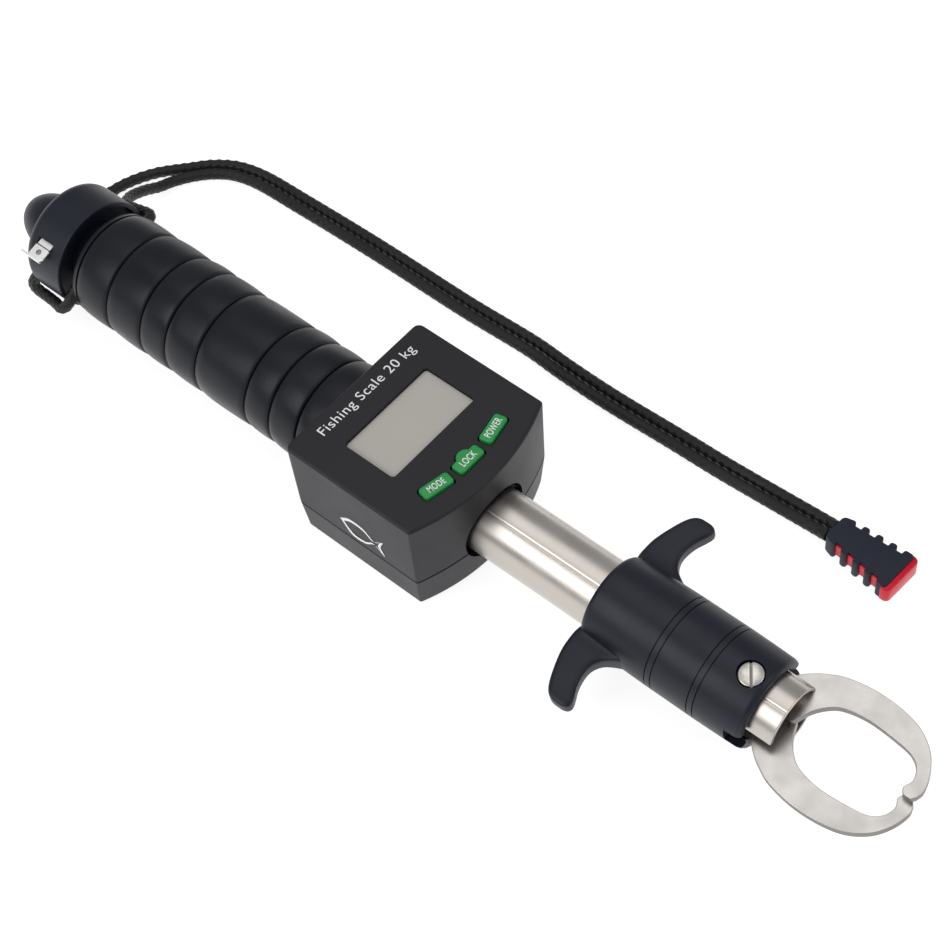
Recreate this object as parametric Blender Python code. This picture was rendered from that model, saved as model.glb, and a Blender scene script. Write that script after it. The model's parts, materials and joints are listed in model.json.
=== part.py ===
"""Digital fish scale: a lip gripper with a weighing box, a tape measure in its tail and a lanyard.

The tool lies along X with its jaws at +X and its display facing up. Sizes are in millimetres and
become metres when a mesh is made. Most pieces are drawn round the tool's own axis, which lies at
AXIS_HEIGHT above the surface that the tool rests on. The head (tube, trigger and jaws) hangs in a
swivel, and it is drawn in its own frame, turned a little about the axis.
"""
import math

import bmesh
import bpy
from mathutils import Matrix, Vector

MM = 0.001
GAP = 0.3

# Tool axis and head
AXIS_HEIGHT = 15.9
HEAD_ROLL = math.radians(8.0)

# Handle
GRIP_RADIUS = 15.0
GRIP_BORE = 9.3
GRIP_REAR_X = -114.3
GRIP_FRONT_X = -22.9
GRIP_GROOVES_X = (-111.9, -100.3, -87.6, -78.4, -67.2, -49.4, -40.8, -31.6)
GRIP_SWELL = 0.3
GROOVE_DEPTH = 0.6
GROOVE_HALF_WIDTH = 0.6
CORE_RADIUS = 9.0
CORE_BORE = 7.6
CORE_REAR_X = -114.1
CORE_FRONT_X = -19.9

# Tape case in the tail
CASE_RADIUS = 15.65
CASE_BORE = 14.25
CASE_LIP_X = -117.9
CASE_SHOULDER_X = -128.4
CASE_END_X = -132.0
CASE_END_RADIUS = 12.0
CASE_FLOOR_X = -130.2
COVER_REAR_X = -120.9
COVER_FRONT_X = -119.9
AXLE_RADIUS = 2.9
NECK_RADIUS = 9.0
NECK_REAR_X = -119.6
LANYARD_HOLE_X = -116.1
LANYARD_HOLE_RADIUS = 1.8
DOME_BASE_X = -132.3
DOME_TIP_X = -146.0
DOME_RADIUS = 8.7
SPOOL_REAR_X = -129.8
SPOOL_FRONT_X = -121.2
SPOOL_FLANGE = 0.8
SPOOL_RADIUS = 13.2
SPOOL_HUB_RADIUS = 7.6
SPOOL_HUB_BORE = 7.0
TAPE_COIL_RADIUS = 12.6
TAPE_WIDTH = 5.0
TAPE_CENTRE_X = -124.4
TAPE_LINE_DISTANCE = 12.95
TAPE_EXIT_ANGLE = math.radians(40.0)

# Display housing
HOUSING_REAR_X = -22.6
HOUSING_CORNER_X = 18.0
HOUSING_NOSE_X = 23.1
HOUSING_HALF_WIDTH = 24.5
HOUSING_TOP_Z = 19.2
HOUSING_SPLIT_Z = -3.1
HOUSING_BASE_Z = -AXIS_HEIGHT
HOUSING_WALL = 2.0
REAR_CORNER_RADIUS = 2.0
TOP_EDGE = 0.9
BASE_EDGE = 2.2
TUBE_HOLE_RADIUS = 10.6
POSTS = ((-17.4, -19.3), (-17.4, 19.3), (11.5, -19.3), (11.5, 19.3))
POST_RADIUS = 2.9
SCREW_RADIUS = 1.1
SCREW_HEAD_RADIUS = 2.1
WINDOW_X = (-11.5, 4.6)
WINDOW_HALF_WIDTH = 14.9
WINDOW_LEDGE = 0.9
WINDOW_SEAT_Z = 17.9
BUTTON_LENGTH = 8.6
BUTTON_WIDTH = 3.7
BUTTON_TOP_Z = 20.0
BUTTON_FOOT_Z = 15.4
BUTTON_FLANGE = 0.8
BUTTONS = {
    "unit_button": (14.35, -10.45, math.radians(-11.5)),
    "hold_button": (15.3, 0.0, 0.0),
    "power_button": (14.1, 10.6, math.radians(11.0)),
}
HOLD_BUMP_RADIUS = 2.4
HOLD_BUMP_X = -0.8
BOARD_Z = (11.2, 12.8)
BATTERY_X = -3.0
BATTERY_RADIUS = 10.0
CAP_RADIUS = 11.6

# Head: tube, trigger collar and jaws
TUBE_RADIUS = 9.05
TUBE_BORE = 8.05
TUBE_REAR_X = 9.5
TUBE_FRONT_X = 111.3
PIVOT_X = 100.1
TRIGGER_TRAVEL = 9.0
JAW_OPENING = math.radians(18.0)
COLLAR_REAR_X = 58.1
COLLAR_FRONT_X = 104.9
COLLAR_RADIUS = 12.3
COLLAR_BORE = 9.5
WING_HALF_THICKNESS = 2.3
PIVOT_SHANK_RADIUS = 2.0
PIVOT_HEAD_RADIUS = 3.1
PIVOT_HEAD_Z = (10.75, 11.85)
JAW_THICKNESS = 2.2
JAW_HALF_GAP = 0.15
JAW_SLOT_HALF_HEIGHT = 2.75
SPREADER_X = 106.0
PIN_RADIUS = 0.95
PLUNGER_RADIUS = 7.7
PLUNGER_REAR_X = 80.0
PLUNGER_FRONT_X = 103.0
SPRING_SEAT_X = (61.0, 63.0)
SPRING_RADIUS = 5.6
SPRING_WIRE = 0.5
SPRING_TURNS = 6

# Lanyard and its toggle, in the row's own frame
CORD_DIAMETER = 3.2
TOGGLE_START = (84.2, 54.9)
TOGGLE_TURN = math.radians(-3.5)
TOGGLE_LENGTH = 21.5
TOGGLE_SHELL_LENGTH = 18.6
TOGGLE_HALF_HEIGHT = 3.0
TOGGLE_HALF_WIDTHS = (4.3, 6.2)
PAIR_SPACING = 3.5
CORD_REST_Z = 1.7

FINISHES = {
    "foam": ((0.022, 0.025, 0.035), 0.75, 0.0),
    "case_plastic": ((0.020, 0.023, 0.032), 0.55, 0.0),
    "housing_plastic": ((0.030, 0.030, 0.034), 0.45, 0.0),
    "button_rubber": ((0.02, 0.32, 0.08), 0.5, 0.0),
    "window": ((0.40, 0.40, 0.36), 0.1, 0.0),
    "board": ((0.03, 0.20, 0.08), 0.5, 0.0),
    "inner_plastic": ((0.15, 0.15, 0.16), 0.6, 0.0),
    "steel": ((0.62, 0.60, 0.57), 0.3, 1.0),
    "bright_steel": ((0.75, 0.75, 0.74), 0.2, 1.0),
    "aluminium": ((0.70, 0.70, 0.72), 0.35, 1.0),
    "spring_steel": ((0.45, 0.45, 0.46), 0.35, 1.0),
    "tape_paint": ((0.85, 0.80, 0.25), 0.4, 0.0),
    "cord": ((0.015, 0.015, 0.017), 0.85, 0.0),
    "toggle_rubber": ((0.020, 0.024, 0.045), 0.6, 0.0),
    "toggle_red": ((0.65, 0.02, 0.05), 0.45, 0.0),
}


# ---------------------------------------------------------------- making objects


def clear_scene():
    """Removes every object that is already there."""
    for thing in list(bpy.data.objects):
        bpy.data.objects.remove(thing)


def material(name):
    """Returns the Principled material of one finish, made the first time it is asked for."""
    found = bpy.data.materials.get(name)
    if found:
        return found
    colour, roughness, metallic = FINISHES[name]
    made = bpy.data.materials.new(name)
    made.use_nodes = True
    shader = made.node_tree.nodes["Principled BSDF"]
    shader.inputs["Base Color"].default_value = (*colour, 1.0)
    shader.inputs["Roughness"].default_value = roughness
    shader.inputs["Metallic"].default_value = metallic
    return made


def empty(name, location=(0, 0, 0), turn=(0, 0, 0), parent=None):
    """Makes an empty at a place in millimetres, which other pieces are parented to."""
    made = bpy.data.objects.new(name, None)
    made.location = Vector(location) * MM
    made.rotation_euler = turn
    made.parent = parent
    bpy.context.scene.collection.objects.link(made)
    return made


def to_object(name, bm, parent, finish, turn_outwards=True):
    """Makes an object from a bmesh drawn in millimetres, round its parent's origin."""
    bmesh.ops.remove_doubles(bm, verts=bm.verts, dist=0.0005)
    if turn_outwards:
        bmesh.ops.recalc_face_normals(bm, faces=bm.faces)
    bmesh.ops.scale(bm, vec=(MM, MM, MM), verts=bm.verts)
    mesh = bpy.data.meshes.new(name)
    bm.to_mesh(mesh)
    bm.free()
    mesh.shade_smooth()
    mesh.set_sharp_from_angle(angle=math.radians(35))
    made = bpy.data.objects.new(name, mesh)
    made.parent = parent
    bpy.context.scene.collection.objects.link(made)
    if finish:
        mesh.materials.append(material(finish))
    return made


def turned(name, profile, parent, finish, steps=32, closed=True, start=0.0):
    """Turns a profile of (x, radius) points about X. An open profile starts and ends on the axis."""
    bm = bmesh.new()
    side, up = math.sin(start), math.cos(start)
    verts = [bm.verts.new((x, side * radius, up * radius)) for x, radius in profile]
    for first, second in zip(verts, verts[1:]):
        bm.edges.new((first, second))
    if closed:
        bm.edges.new((verts[-1], verts[0]))
    bmesh.ops.spin(bm, geom=bm.verts[:] + bm.edges[:], cent=(0, 0, 0), axis=(1, 0, 0),
                   angle=2 * math.pi, steps=steps, use_merge=True)
    return to_object(name, bm, parent, finish)


def prism(name, outline, low, high, parent, finish, frame=None, edge=0.0, edge_at=None):
    """Extrudes a flat outline from low to high, optionally bevelling the rim at one height."""
    bm = bmesh.new()
    face = bm.faces.new([bm.verts.new((x, y, low)) for x, y in outline])
    grown = bmesh.ops.extrude_face_region(bm, geom=[face])["geom"]
    raised = [item for item in grown if isinstance(item, bmesh.types.BMVert)]
    bmesh.ops.translate(bm, vec=(0, 0, high - low), verts=raised)
    if edge:
        rim = [e for e in bm.edges if all(abs(v.co.z - edge_at) < 1e-4 for v in e.verts)]
        bmesh.ops.bevel(bm, geom=rim, offset=edge, segments=2, profile=0.5, affect="EDGES", material=-1)
    if frame is not None:
        bmesh.ops.transform(bm, matrix=frame, verts=bm.verts)
    return to_object(name, bm, parent, finish)


def block(name, low, high, parent, finish, frame=None):
    """Makes a box between two opposite corners."""
    outline = [(low[0], low[1]), (high[0], low[1]), (high[0], high[1]), (low[0], high[1])]
    return prism(name, outline, low[2], high[2], parent, finish, frame)


def rod(name, radius, start, end, parent, finish, steps=20, rim=0.0):
    """Makes a round bar from start to end, with its two rims chamfered if rim is given."""
    start, end = Vector(start), Vector(end)
    length = (end - start).length
    bm = bmesh.new()
    bmesh.ops.create_cone(bm, cap_ends=True, segments=steps, radius1=radius, radius2=radius, depth=length)
    if rim:
        rims = [e for e in bm.edges if abs(e.verts[0].co.z - e.verts[1].co.z) < 1e-4]
        bmesh.ops.bevel(bm, geom=rims, offset=rim, segments=1, profile=0.5, affect="EDGES", material=-1)
    turn = Vector((0, 0, 1)).rotation_difference((end - start).normalized()).to_matrix().to_4x4()
    bmesh.ops.transform(bm, matrix=Matrix.Translation((start + end) / 2) @ turn, verts=bm.verts)
    return to_object(name, bm, parent, finish)


def boolean(target, tool, operation):
    """Adds an exact boolean to a piece and hides the tool shape that it uses."""
    tool.hide_render = True
    tool.display_type = "WIRE"
    modifier = target.modifiers.new(tool.name, "BOOLEAN")
    modifier.operation = operation
    modifier.solver = "EXACT"
    modifier.object = tool


def cut(target, *tools):
    """Cuts tool shapes out of a piece."""
    for tool in tools:
        boolean(target, tool, "DIFFERENCE")


def fuse(target, *tools):
    """Joins tool shapes to a piece."""
    for tool in tools:
        boolean(target, tool, "UNION")


# ---------------------------------------------------------------- outlines


def arc(centre, radius, start, end, count):
    """Points on an arc, angles in degrees."""
    angles = [math.radians(start + (end - start) * i / (count - 1)) for i in range(count)]
    return [(centre[0] + radius * math.cos(a), centre[1] + radius * math.sin(a)) for a in angles]


def rounded_rectangle(length, width, radius, count=4):
    """Outline of a rectangle with round corners, centred on the origin."""
    x, y = length / 2 - radius, width / 2 - radius
    corners = (((x, y), 0), ((-x, y), 90), ((-x, -y), 180), ((x, -y), 270))
    points = []
    for centre, start in corners:
        points += arc(centre, radius, start, start + 90, count)
    return points


def smooth_path(points, per_span):
    """Catmull-Rom curve through points of two or three coordinates, with per_span steps a span."""
    points = [Vector(p) for p in points]
    ends = [2 * points[0] - points[1], *points, 2 * points[-1] - points[-2]]
    path = []
    for before, start, end, after in zip(ends, ends[1:], ends[2:], ends[3:]):
        for step in range(per_span):
            t = step / per_span
            path.append(0.5 * (2 * start + (end - before) * t
                               + (2 * before - 5 * start + 4 * end - after) * t ** 2
                               + (3 * start - before - 3 * end + after) * t ** 3))
    path.append(points[-1])
    return path


def housing_outline(inset):
    """Plan outline of the display housing, with a bowed front, drawn inset from its outer wall."""
    half = HOUSING_HALF_WIDTH - inset
    rear = HOUSING_REAR_X + inset
    corner = HOUSING_CORNER_X - inset
    rise = HOUSING_NOSE_X - HOUSING_CORNER_X
    radius = (half ** 2 + rise ** 2) / (2 * rise)
    spread = math.degrees(math.asin(half / radius))
    front = arc((corner + rise - radius, 0), radius, -spread, spread, 11)
    fillet = max(REAR_CORNER_RADIUS - inset, 0.5)
    right = arc((rear + fillet, half - fillet), fillet, 90, 180, 4)
    left = arc((rear + fillet, -half + fillet), fillet, 180, 270, 4)
    return front + right + left


def jaw_outline():
    """Plan outline of one jaw about its pivot: an eye, a shank and half of the jaw loop."""
    outer = [(3.4, 5.6), (5.6, 8.9), (8.4, 11.5), (11.2, 13.3), (15.2, 15.1), (22.0, 16.3),
             (29.2, 16.1), (35.4, 14.6), (40.2, 11.4), (43.1, 7.2), (44.4, 2.6), (44.4, -0.5)]
    inner = [(40.6, -0.5), (40.9, 3.2), (39.9, 6.3), (37.2, 8.3), (32.6, 9.1), (25.2, 9.5),
             (19.4, 8.5), (16.3, 6.7), (13.6, 3.5), (11.5, -1.0), (9.6, 0.2), (7.8, 1.0), (6.2, 1.5), (4.9, 1.7)]
    eye = arc((0, 0), 4.3, 382, 75, 16)
    return [tuple(p) for p in smooth_path(outer, 2)] + [tuple(p) for p in smooth_path(inner, 2)] + eye


def wing_outline(side):
    """Plan outline of one finger wing of the trigger collar; side is 1 or -1."""
    route = [(57.6, 9.8), (57.3, 14.5), (58.0, 20.5), (60.4, 26.0), (63.4, 28.6), (65.8, 28.4),
             (67.3, 26.0), (66.7, 22.5), (65.8, 18.5), (66.4, 15.0), (69.0, 12.6), (74.0, 11.4), (74.0, 9.8)]
    points = [(p.x, p.y * side) for p in smooth_path(route, 2)]
    return points if side < 0 else points[::-1]


# ---------------------------------------------------------------- handle and tail


def make_grip(axis):
    """The foam sleeve with its ring grooves, and the core tube that it is pulled over."""
    profile = [(GRIP_REAR_X, GRIP_BORE), (GRIP_REAR_X, GRIP_RADIUS - 1.0), (GRIP_REAR_X + 0.8, GRIP_RADIUS - 0.3)]
    stops = [*GRIP_GROOVES_X, GRIP_FRONT_X]
    for groove, following in zip(stops, stops[1:]):
        middle = (groove + following) / 2
        profile += [(groove - GROOVE_HALF_WIDTH, GRIP_RADIUS), (groove, GRIP_RADIUS - GROOVE_DEPTH),
                    (groove + GROOVE_HALF_WIDTH, GRIP_RADIUS), (middle, GRIP_RADIUS + GRIP_SWELL)]
    profile += [(GRIP_FRONT_X, GRIP_RADIUS - 0.3), (GRIP_FRONT_X, GRIP_BORE)]
    turned("grip_sleeve", profile, axis, "foam")
    turned("handle_tube", [(CORE_REAR_X, CORE_BORE), (CORE_REAR_X, CORE_RADIUS),
                           (CORE_FRONT_X, CORE_RADIUS), (CORE_FRONT_X, CORE_BORE)], axis, "aluminium")


def make_tail(axis):
    """The neck with the lanyard hole, the tape case, its cover and the domed end cap."""
    spigot_x = GRIP_REAR_X - 0.1
    neck = turned("tail_plug", [(-138.6, 0), (-138.6, AXLE_RADIUS), (COVER_REAR_X - GAP, AXLE_RADIUS),
                                (NECK_REAR_X, AXLE_RADIUS), (NECK_REAR_X, NECK_RADIUS), (spigot_x, NECK_RADIUS),
                                (spigot_x, CORE_BORE - GAP), (-100.0, CORE_BORE - GAP), (-100.0, 0)],
                  axis, "case_plastic", closed=False)
    cut(neck, rod("lanyard_hole", LANYARD_HOLE_RADIUS, (LANYARD_HOLE_X, -12, 0), (LANYARD_HOLE_X, 12, 0),
                  axis, None, steps=16))
    shoulder = arc((CASE_SHOULDER_X, CASE_END_RADIUS), CASE_RADIUS - CASE_END_RADIUS, 90, 180, 5)
    case = turned("tape_case", [(CASE_LIP_X, CASE_BORE), (CASE_LIP_X, CASE_RADIUS - 0.3),
                                (CASE_LIP_X - 0.3, CASE_RADIUS), *shoulder, (CASE_END_X, AXLE_RADIUS + GAP),
                                (CASE_FLOOR_X, AXLE_RADIUS + GAP), (CASE_FLOOR_X, CASE_BORE)],
                  axis, "case_plastic", steps=36)
    half = TAPE_WIDTH / 2 + 0.4
    cut(case, block("tape_slot", (3.5, -0.55, -half), (10.5, 0.55, half), axis, None, tape_frame()))
    turned("case_cover", [(COVER_REAR_X, AXLE_RADIUS + GAP), (COVER_REAR_X, CASE_BORE - GAP),
                          (COVER_FRONT_X, CASE_BORE - GAP), (COVER_FRONT_X, AXLE_RADIUS + GAP)],
           axis, "case_plastic")
    length = DOME_BASE_X - DOME_TIP_X
    dome = [(DOME_BASE_X - length * math.sin(math.radians(a)), DOME_RADIUS * math.cos(math.radians(a)))
            for a in range(0, 90, 15)]
    turned("end_cap", [(-139.0, 0), (-139.0, AXLE_RADIUS + GAP), (DOME_BASE_X, AXLE_RADIUS + GAP), *dome,
                       (DOME_TIP_X, 0)], axis, "case_plastic", closed=False)


def tape_frame():
    """Frame of the tape's straight run: its x runs out along the tape, y away from the case, z along X."""
    tangent = TAPE_EXIT_ANGLE + math.acos(TAPE_LINE_DISTANCE / CASE_RADIUS)
    outward = Vector((0, -math.cos(tangent), math.sin(tangent)))
    run = Vector((0, -math.sin(tangent), -math.cos(tangent)))
    across = run.cross(outward)
    foot = outward * TAPE_LINE_DISTANCE + Vector((TAPE_CENTRE_X, 0, 0))
    return Matrix.Translation(foot) @ Matrix((run, outward, across)).transposed().to_4x4()


def make_tape(axis):
    """The tape measure: spool, wound tape, flat spiral spring, the tape's straight run and its hook."""
    rear, front = SPOOL_REAR_X, SPOOL_FRONT_X
    turned("tape_spool", [(rear, AXLE_RADIUS + GAP), (rear, SPOOL_RADIUS), (rear + SPOOL_FLANGE, SPOOL_RADIUS),
                          (rear + SPOOL_FLANGE, SPOOL_HUB_RADIUS), (front - SPOOL_FLANGE, SPOOL_HUB_RADIUS),
                          (front - SPOOL_FLANGE, SPOOL_RADIUS), (front, SPOOL_RADIUS), (front, SPOOL_HUB_BORE),
                          (rear + SPOOL_FLANGE, SPOOL_HUB_BORE), (rear + SPOOL_FLANGE, AXLE_RADIUS + GAP)],
           axis, "inner_plastic", steps=24)
    low, high = rear + SPOOL_FLANGE + GAP, front - SPOOL_FLANGE - GAP
    turned("tape_coil", [(low, SPOOL_HUB_RADIUS + GAP), (low, TAPE_COIL_RADIUS), (high, TAPE_COIL_RADIUS),
                         (high, SPOOL_HUB_RADIUS + GAP)], axis, "tape_paint", steps=24)
    turns, count, thickness = 3, 42, 0.35
    radii = [AXLE_RADIUS + 0.5 + (SPOOL_HUB_BORE - AXLE_RADIUS - 1.2) * i / (count - 1) for i in range(count)]
    angles = [2 * math.pi * turns * i / (count - 1) for i in range(count)]
    inside = [(r * math.cos(a), r * math.sin(a)) for r, a in zip(radii, angles)]
    outside = [((r + thickness) * math.cos(a), (r + thickness) * math.sin(a)) for r, a in zip(radii, angles)]
    along_x = Matrix.Rotation(math.pi / 2, 4, "Y")
    prism("tape_spring", outside + inside[::-1], low, high - 1.0, axis, "spring_steel", along_x)
    frame = tape_frame()
    exit_run = math.sqrt(CASE_RADIUS ** 2 - TAPE_LINE_DISTANCE ** 2)
    half = TAPE_WIDTH / 2
    block("tape_blade", (0.0, -0.1, -half + 0.2), (exit_run + 0.4, 0.1, half - 0.2), axis, "tape_paint", frame)
    start, length, thickness = exit_run + 0.7, 3.9, 0.25
    plate = [(start, -half + 0.3), (start + length - 0.9, -half + 0.3), (start + length, -half + 1.1),
             (start + length, half - 0.3), (start, half - 0.3)]
    flat = frame @ Matrix.Rotation(math.pi / 2, 4, "X")
    hook = prism("tape_hook", [(x, z) for x, z in plate], -thickness, thickness, axis, "bright_steel", flat)
    fuse(hook, block("hook_lip", (start + length - 0.45, -1.7, -half + 1.2),
                     (start + length + 0.05, thickness - 0.06, half + 2.6), axis, None, frame))
    middle = start + 1.7
    below, above = frame @ Vector((middle, -0.8, 0)), frame @ Vector((middle, 0.8, 0))
    cut(hook, rod("hook_rivet_hole", 0.95, below, above, axis, None, steps=12))
    base, crown = frame @ Vector((middle, -0.45, 0)), frame @ Vector((middle, 0.5, 0))
    rod("hook_rivet", 0.65, base, crown, axis, "bright_steel", steps=12, rim=0.15)


# ---------------------------------------------------------------- display housing


def make_housings(axis):
    """The upper and lower shells, with their posts, holes, window seat and battery opening."""
    top, split, base = HOUSING_TOP_Z, HOUSING_SPLIT_Z, HOUSING_BASE_Z
    upper = prism("upper_housing", housing_outline(0), split, top, axis, "housing_plastic",
                  edge=TOP_EDGE, edge_at=top)
    cut(upper, prism("upper_hollow", housing_outline(HOUSING_WALL), split - 1, top - HOUSING_WALL, axis, None))
    lower = prism("lower_housing", housing_outline(0), base, split - GAP, axis, "housing_plastic",
                  edge=BASE_EDGE, edge_at=base)
    cut(lower, prism("lower_hollow", housing_outline(HOUSING_WALL), base + HOUSING_WALL, split + 1, axis, None))
    for index, (x, y) in enumerate(POSTS):
        boss = (x, y, top - HOUSING_WALL + 0.5)
        fuse(upper, rod(f"upper_post_{index}", POST_RADIUS, (x, y, split + 0.05), boss, axis, None, steps=12))
        cut(upper, rod(f"screw_socket_{index}", SCREW_RADIUS + GAP, (x, y, split - 2), (x, y, split + 9), axis,
                       None, steps=10))
        foot = (x, y, base + 1)
        fuse(lower, rod(f"lower_post_{index}", POST_RADIUS, foot, (x, y, split - GAP - 0.05), axis, None, steps=12))
        cut(lower, rod(f"screw_passage_{index}", SCREW_RADIUS + GAP, (x, y, base - 2), (x, y, split + 2), axis,
                       None, steps=10),
            rod(f"screw_recess_{index}", SCREW_HEAD_RADIUS + GAP, (x, y, base - 2), (x, y, base + 3), axis,
                None, steps=12))
        screw = rod(f"housing_screw_{index + 1}", SCREW_HEAD_RADIUS, (x, y, base + 1.2), (x, y, base + 2.8),
                    axis, "spring_steel", steps=12)
        fuse(screw, rod(f"screw_shank_{index}", SCREW_RADIUS, (x, y, base + 2), (x, y, split + 7), axis,
                        None, steps=10))
    reach = HOUSING_NOSE_X + 5
    for shell, label in ((upper, "upper"), (lower, "lower")):
        cut(shell, rod(f"{label}_tube_hole", TUBE_HOLE_RADIUS, (HOUSING_CORNER_X - 6, 0, 0), (reach, 0, 0), axis,
                       None, steps=32),
            rod(f"{label}_handle_hole", CORE_RADIUS + GAP, (HOUSING_REAR_X - 3, 0, 0), (HOUSING_REAR_X + 6, 0, 0),
                axis, None, steps=32))
    middle = sum(WINDOW_X) / 2
    centre = Matrix.Translation((middle, 0, 0))
    length = WINDOW_X[1] - WINDOW_X[0]
    width = 2 * WINDOW_HALF_WIDTH
    ledge = 2 * WINDOW_LEDGE
    cut(upper, prism("window_seat", rounded_rectangle(length, width, 1.2), WINDOW_SEAT_Z, top + 2, axis, None, centre),
        prism("window_opening", rounded_rectangle(length - ledge, width - ledge, 0.8), top - 4, top + 2, axis,
              None, centre))
    for name in BUTTONS:
        cut(upper, prism(f"{name}_opening", button_outline(name, 0.35), top - 4, top + 2, axis, None,
                         button_frame(name)))
    cut(lower, rod("battery_opening", CAP_RADIUS + 0.4, (BATTERY_X, 0, base - 2), (BATTERY_X, 0, base + 4), axis,
                   None, steps=32),
        block("bayonet_entry", (BATTERY_X - 2.5, -13.6, base - 2), (BATTERY_X + 2.5, 13.6, base + 4), axis, None))
    prism("display_window", rounded_rectangle(length - 2 * GAP, width - 2 * GAP, 1.0), WINDOW_SEAT_Z + 0.2,
          WINDOW_SEAT_Z + 0.9, axis, "window", centre)


def button_frame(name):
    """Places a button's outline on the housing top, turned to follow the bowed front edge."""
    x, y, turn = BUTTONS[name]
    return Matrix.Translation((x, y, 0)) @ Matrix.Rotation(turn + math.pi / 2, 4, "Z")


def button_outline(name, grow=0.0):
    """A rounded bar; the hold button also has a half-round bump towards the display."""
    bar = rounded_rectangle(BUTTON_LENGTH + 2 * grow, BUTTON_WIDTH + 2 * grow, 0.9 + grow, 3)
    if name != "hold_button":
        return bar
    side = BUTTON_WIDTH / 2 + grow
    radius = HOLD_BUMP_RADIUS + grow
    reach = math.degrees(math.asin((side + HOLD_BUMP_X) / radius))
    bump = arc((0, -HOLD_BUMP_X), radius, reach, 180 - reach, 7)
    turn_index = 3
    return bar[:turn_index] + bump + bar[turn_index:]


def make_buttons(axis):
    """Three push buttons with flanges that keep them in the housing, and a tact switch under each."""
    for name, (x, y, _) in BUTTONS.items():
        frame = button_frame(name)
        button = prism(name, button_outline(name), BUTTON_FOOT_Z, BUTTON_TOP_Z, axis, "button_rubber", frame,
                       edge=0.35, edge_at=BUTTON_TOP_Z)
        fuse(button, prism(f"{name}_flange", rounded_rectangle(BUTTON_LENGTH + 2 * BUTTON_FLANGE,
                                                              BUTTON_WIDTH + 2 * BUTTON_FLANGE, 0.9, 2),
                           BUTTON_FOOT_Z - 0.1, BUTTON_FOOT_Z + 0.8, axis, None, frame))
        switch = name.replace("button", "switch")
        block(switch, (x - 1.6, y - 1.6, BOARD_Z[1] + 0.1), (x + 1.6, y + 1.6, BOARD_Z[1] + 1.6), axis, "inner_plastic")


def make_electronics(axis):
    """The display module, circuit board, coin cell, its holder and the quarter-turn battery cap."""
    block("lcd_module", (-13.6, -16.4, BOARD_Z[1] + GAP), (6.2, 16.4, 16.9), axis, "window")
    board = prism("circuit_board", rounded_rectangle(31.4, 31.6, 0.5, 2), *BOARD_Z, axis, "board",
                  Matrix.Translation((2.0, 0, 0)))
    for index, side in enumerate((-1, 1)):
        cut(board, rod(f"board_hole_{index}", 1.2, (-11.0, 14.0 * side, 8), (-11.0, 14.0 * side, 16), axis, None,
                       steps=10))
    x = BATTERY_X
    holder = block("battery_holder", (x - 11.6, -17.8, -9.3), (x + 11.6, 17.8, -8.3), axis, "inner_plastic")
    wall = turned("holder_wall", [(8.9, BATTERY_RADIUS + GAP), (8.9, BATTERY_RADIUS + 1.1),
                                  (12.5, BATTERY_RADIUS + 1.1), (12.5, BATTERY_RADIUS + GAP)], axis, None)
    wall.rotation_euler = (0, math.pi / 2, 0)
    wall.location = Vector((x, 0, 0)) * MM
    fuse(holder, wall)
    for index, side in enumerate((-1, 1)):
        low, high = sorted((16.2 * side, 17.8 * side))
        fuse(holder, block(f"holder_leg_{index}", (x - 4, low, HOUSING_BASE_Z + HOUSING_WALL + GAP),
                           (x + 4, high, -8.8), axis, None))
    rod("battery_cell", BATTERY_RADIUS, (x, 0, -12.9), (x, 0, -9.7), axis, "bright_steel", steps=32, rim=0.4)
    base = HOUSING_BASE_Z
    pivot = empty("battery_cap_axis", (x, 0, 0), parent=axis)
    cap = rod("battery_cap", CAP_RADIUS, (0, 0, base + 0.3), (0, 0, base + 2.2), pivot, "housing_plastic", steps=32)
    fuse(cap, block("cap_lugs", (-13.2, -2.0, base + 2.0 + GAP), (13.2, 2.0, base + 3.0), pivot, None),
         rod("cap_neck", 6.0, (0, 0, base + 1.5), (0, 0, base + 2.6), pivot, None, steps=16))
    cut(cap, block("coin_slot", (-6.0, -0.8, base - 1), (6.0, 0.8, base + 1.0), pivot, None))


def make_weighing(axis):
    """The load cell between handle and head, its rear bolt and plug, and the swivel bolt in front."""
    cell = block("load_cell", (-17.9, -6.0, -4.5), (5.0, 6.0, 4.5), axis, "aluminium")
    for index, x in enumerate((-9.2, -3.7)):
        cut(cell, rod(f"load_cell_eye_{index}", 2.6, (x, -8, 0), (x, 8, 0), axis, None, steps=20))
    cut(cell, block("load_cell_neck", (-9.2, -8, -0.8), (-3.7, 8, 0.8), axis, None),
        rod("load_cell_rear_hole", 2.2, (-20, 0, 0), (-12.5, 0, 0), axis, None, steps=16),
        rod("load_cell_front_hole", 2.2, (-0.4, 0, 0), (7, 0, 0), axis, None, steps=16))
    turned("anchor_plug", [(-32.0, 2.2), (-32.0, CORE_BORE - GAP), (-20.0, CORE_BORE - GAP), (-20.0, 5.0),
                           (-18.2, 5.0), (-18.2, 2.2)], axis, "aluminium", steps=24)
    turned("anchor_bolt", [(-35.4, 0), (-35.4, 3.6), (-32.3, 3.6), (-32.3, 1.9), (-13.0, 1.9), (-13.0, 0)],
           axis, "steel", steps=16, closed=False)
    turned("swivel_bolt", [(0.0, 0), (0.0, 1.9), (15.6, 1.9), (15.6, 4.2), (18.6, 4.2), (18.6, 0)],
           axis, "steel", steps=16, closed=False)
    turned("swivel_nut", [(5.3, 2.2), (5.3, 4.0), (8.3, 4.0), (8.3, 2.2)], axis, "steel", steps=6)


# ---------------------------------------------------------------- head


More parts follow.
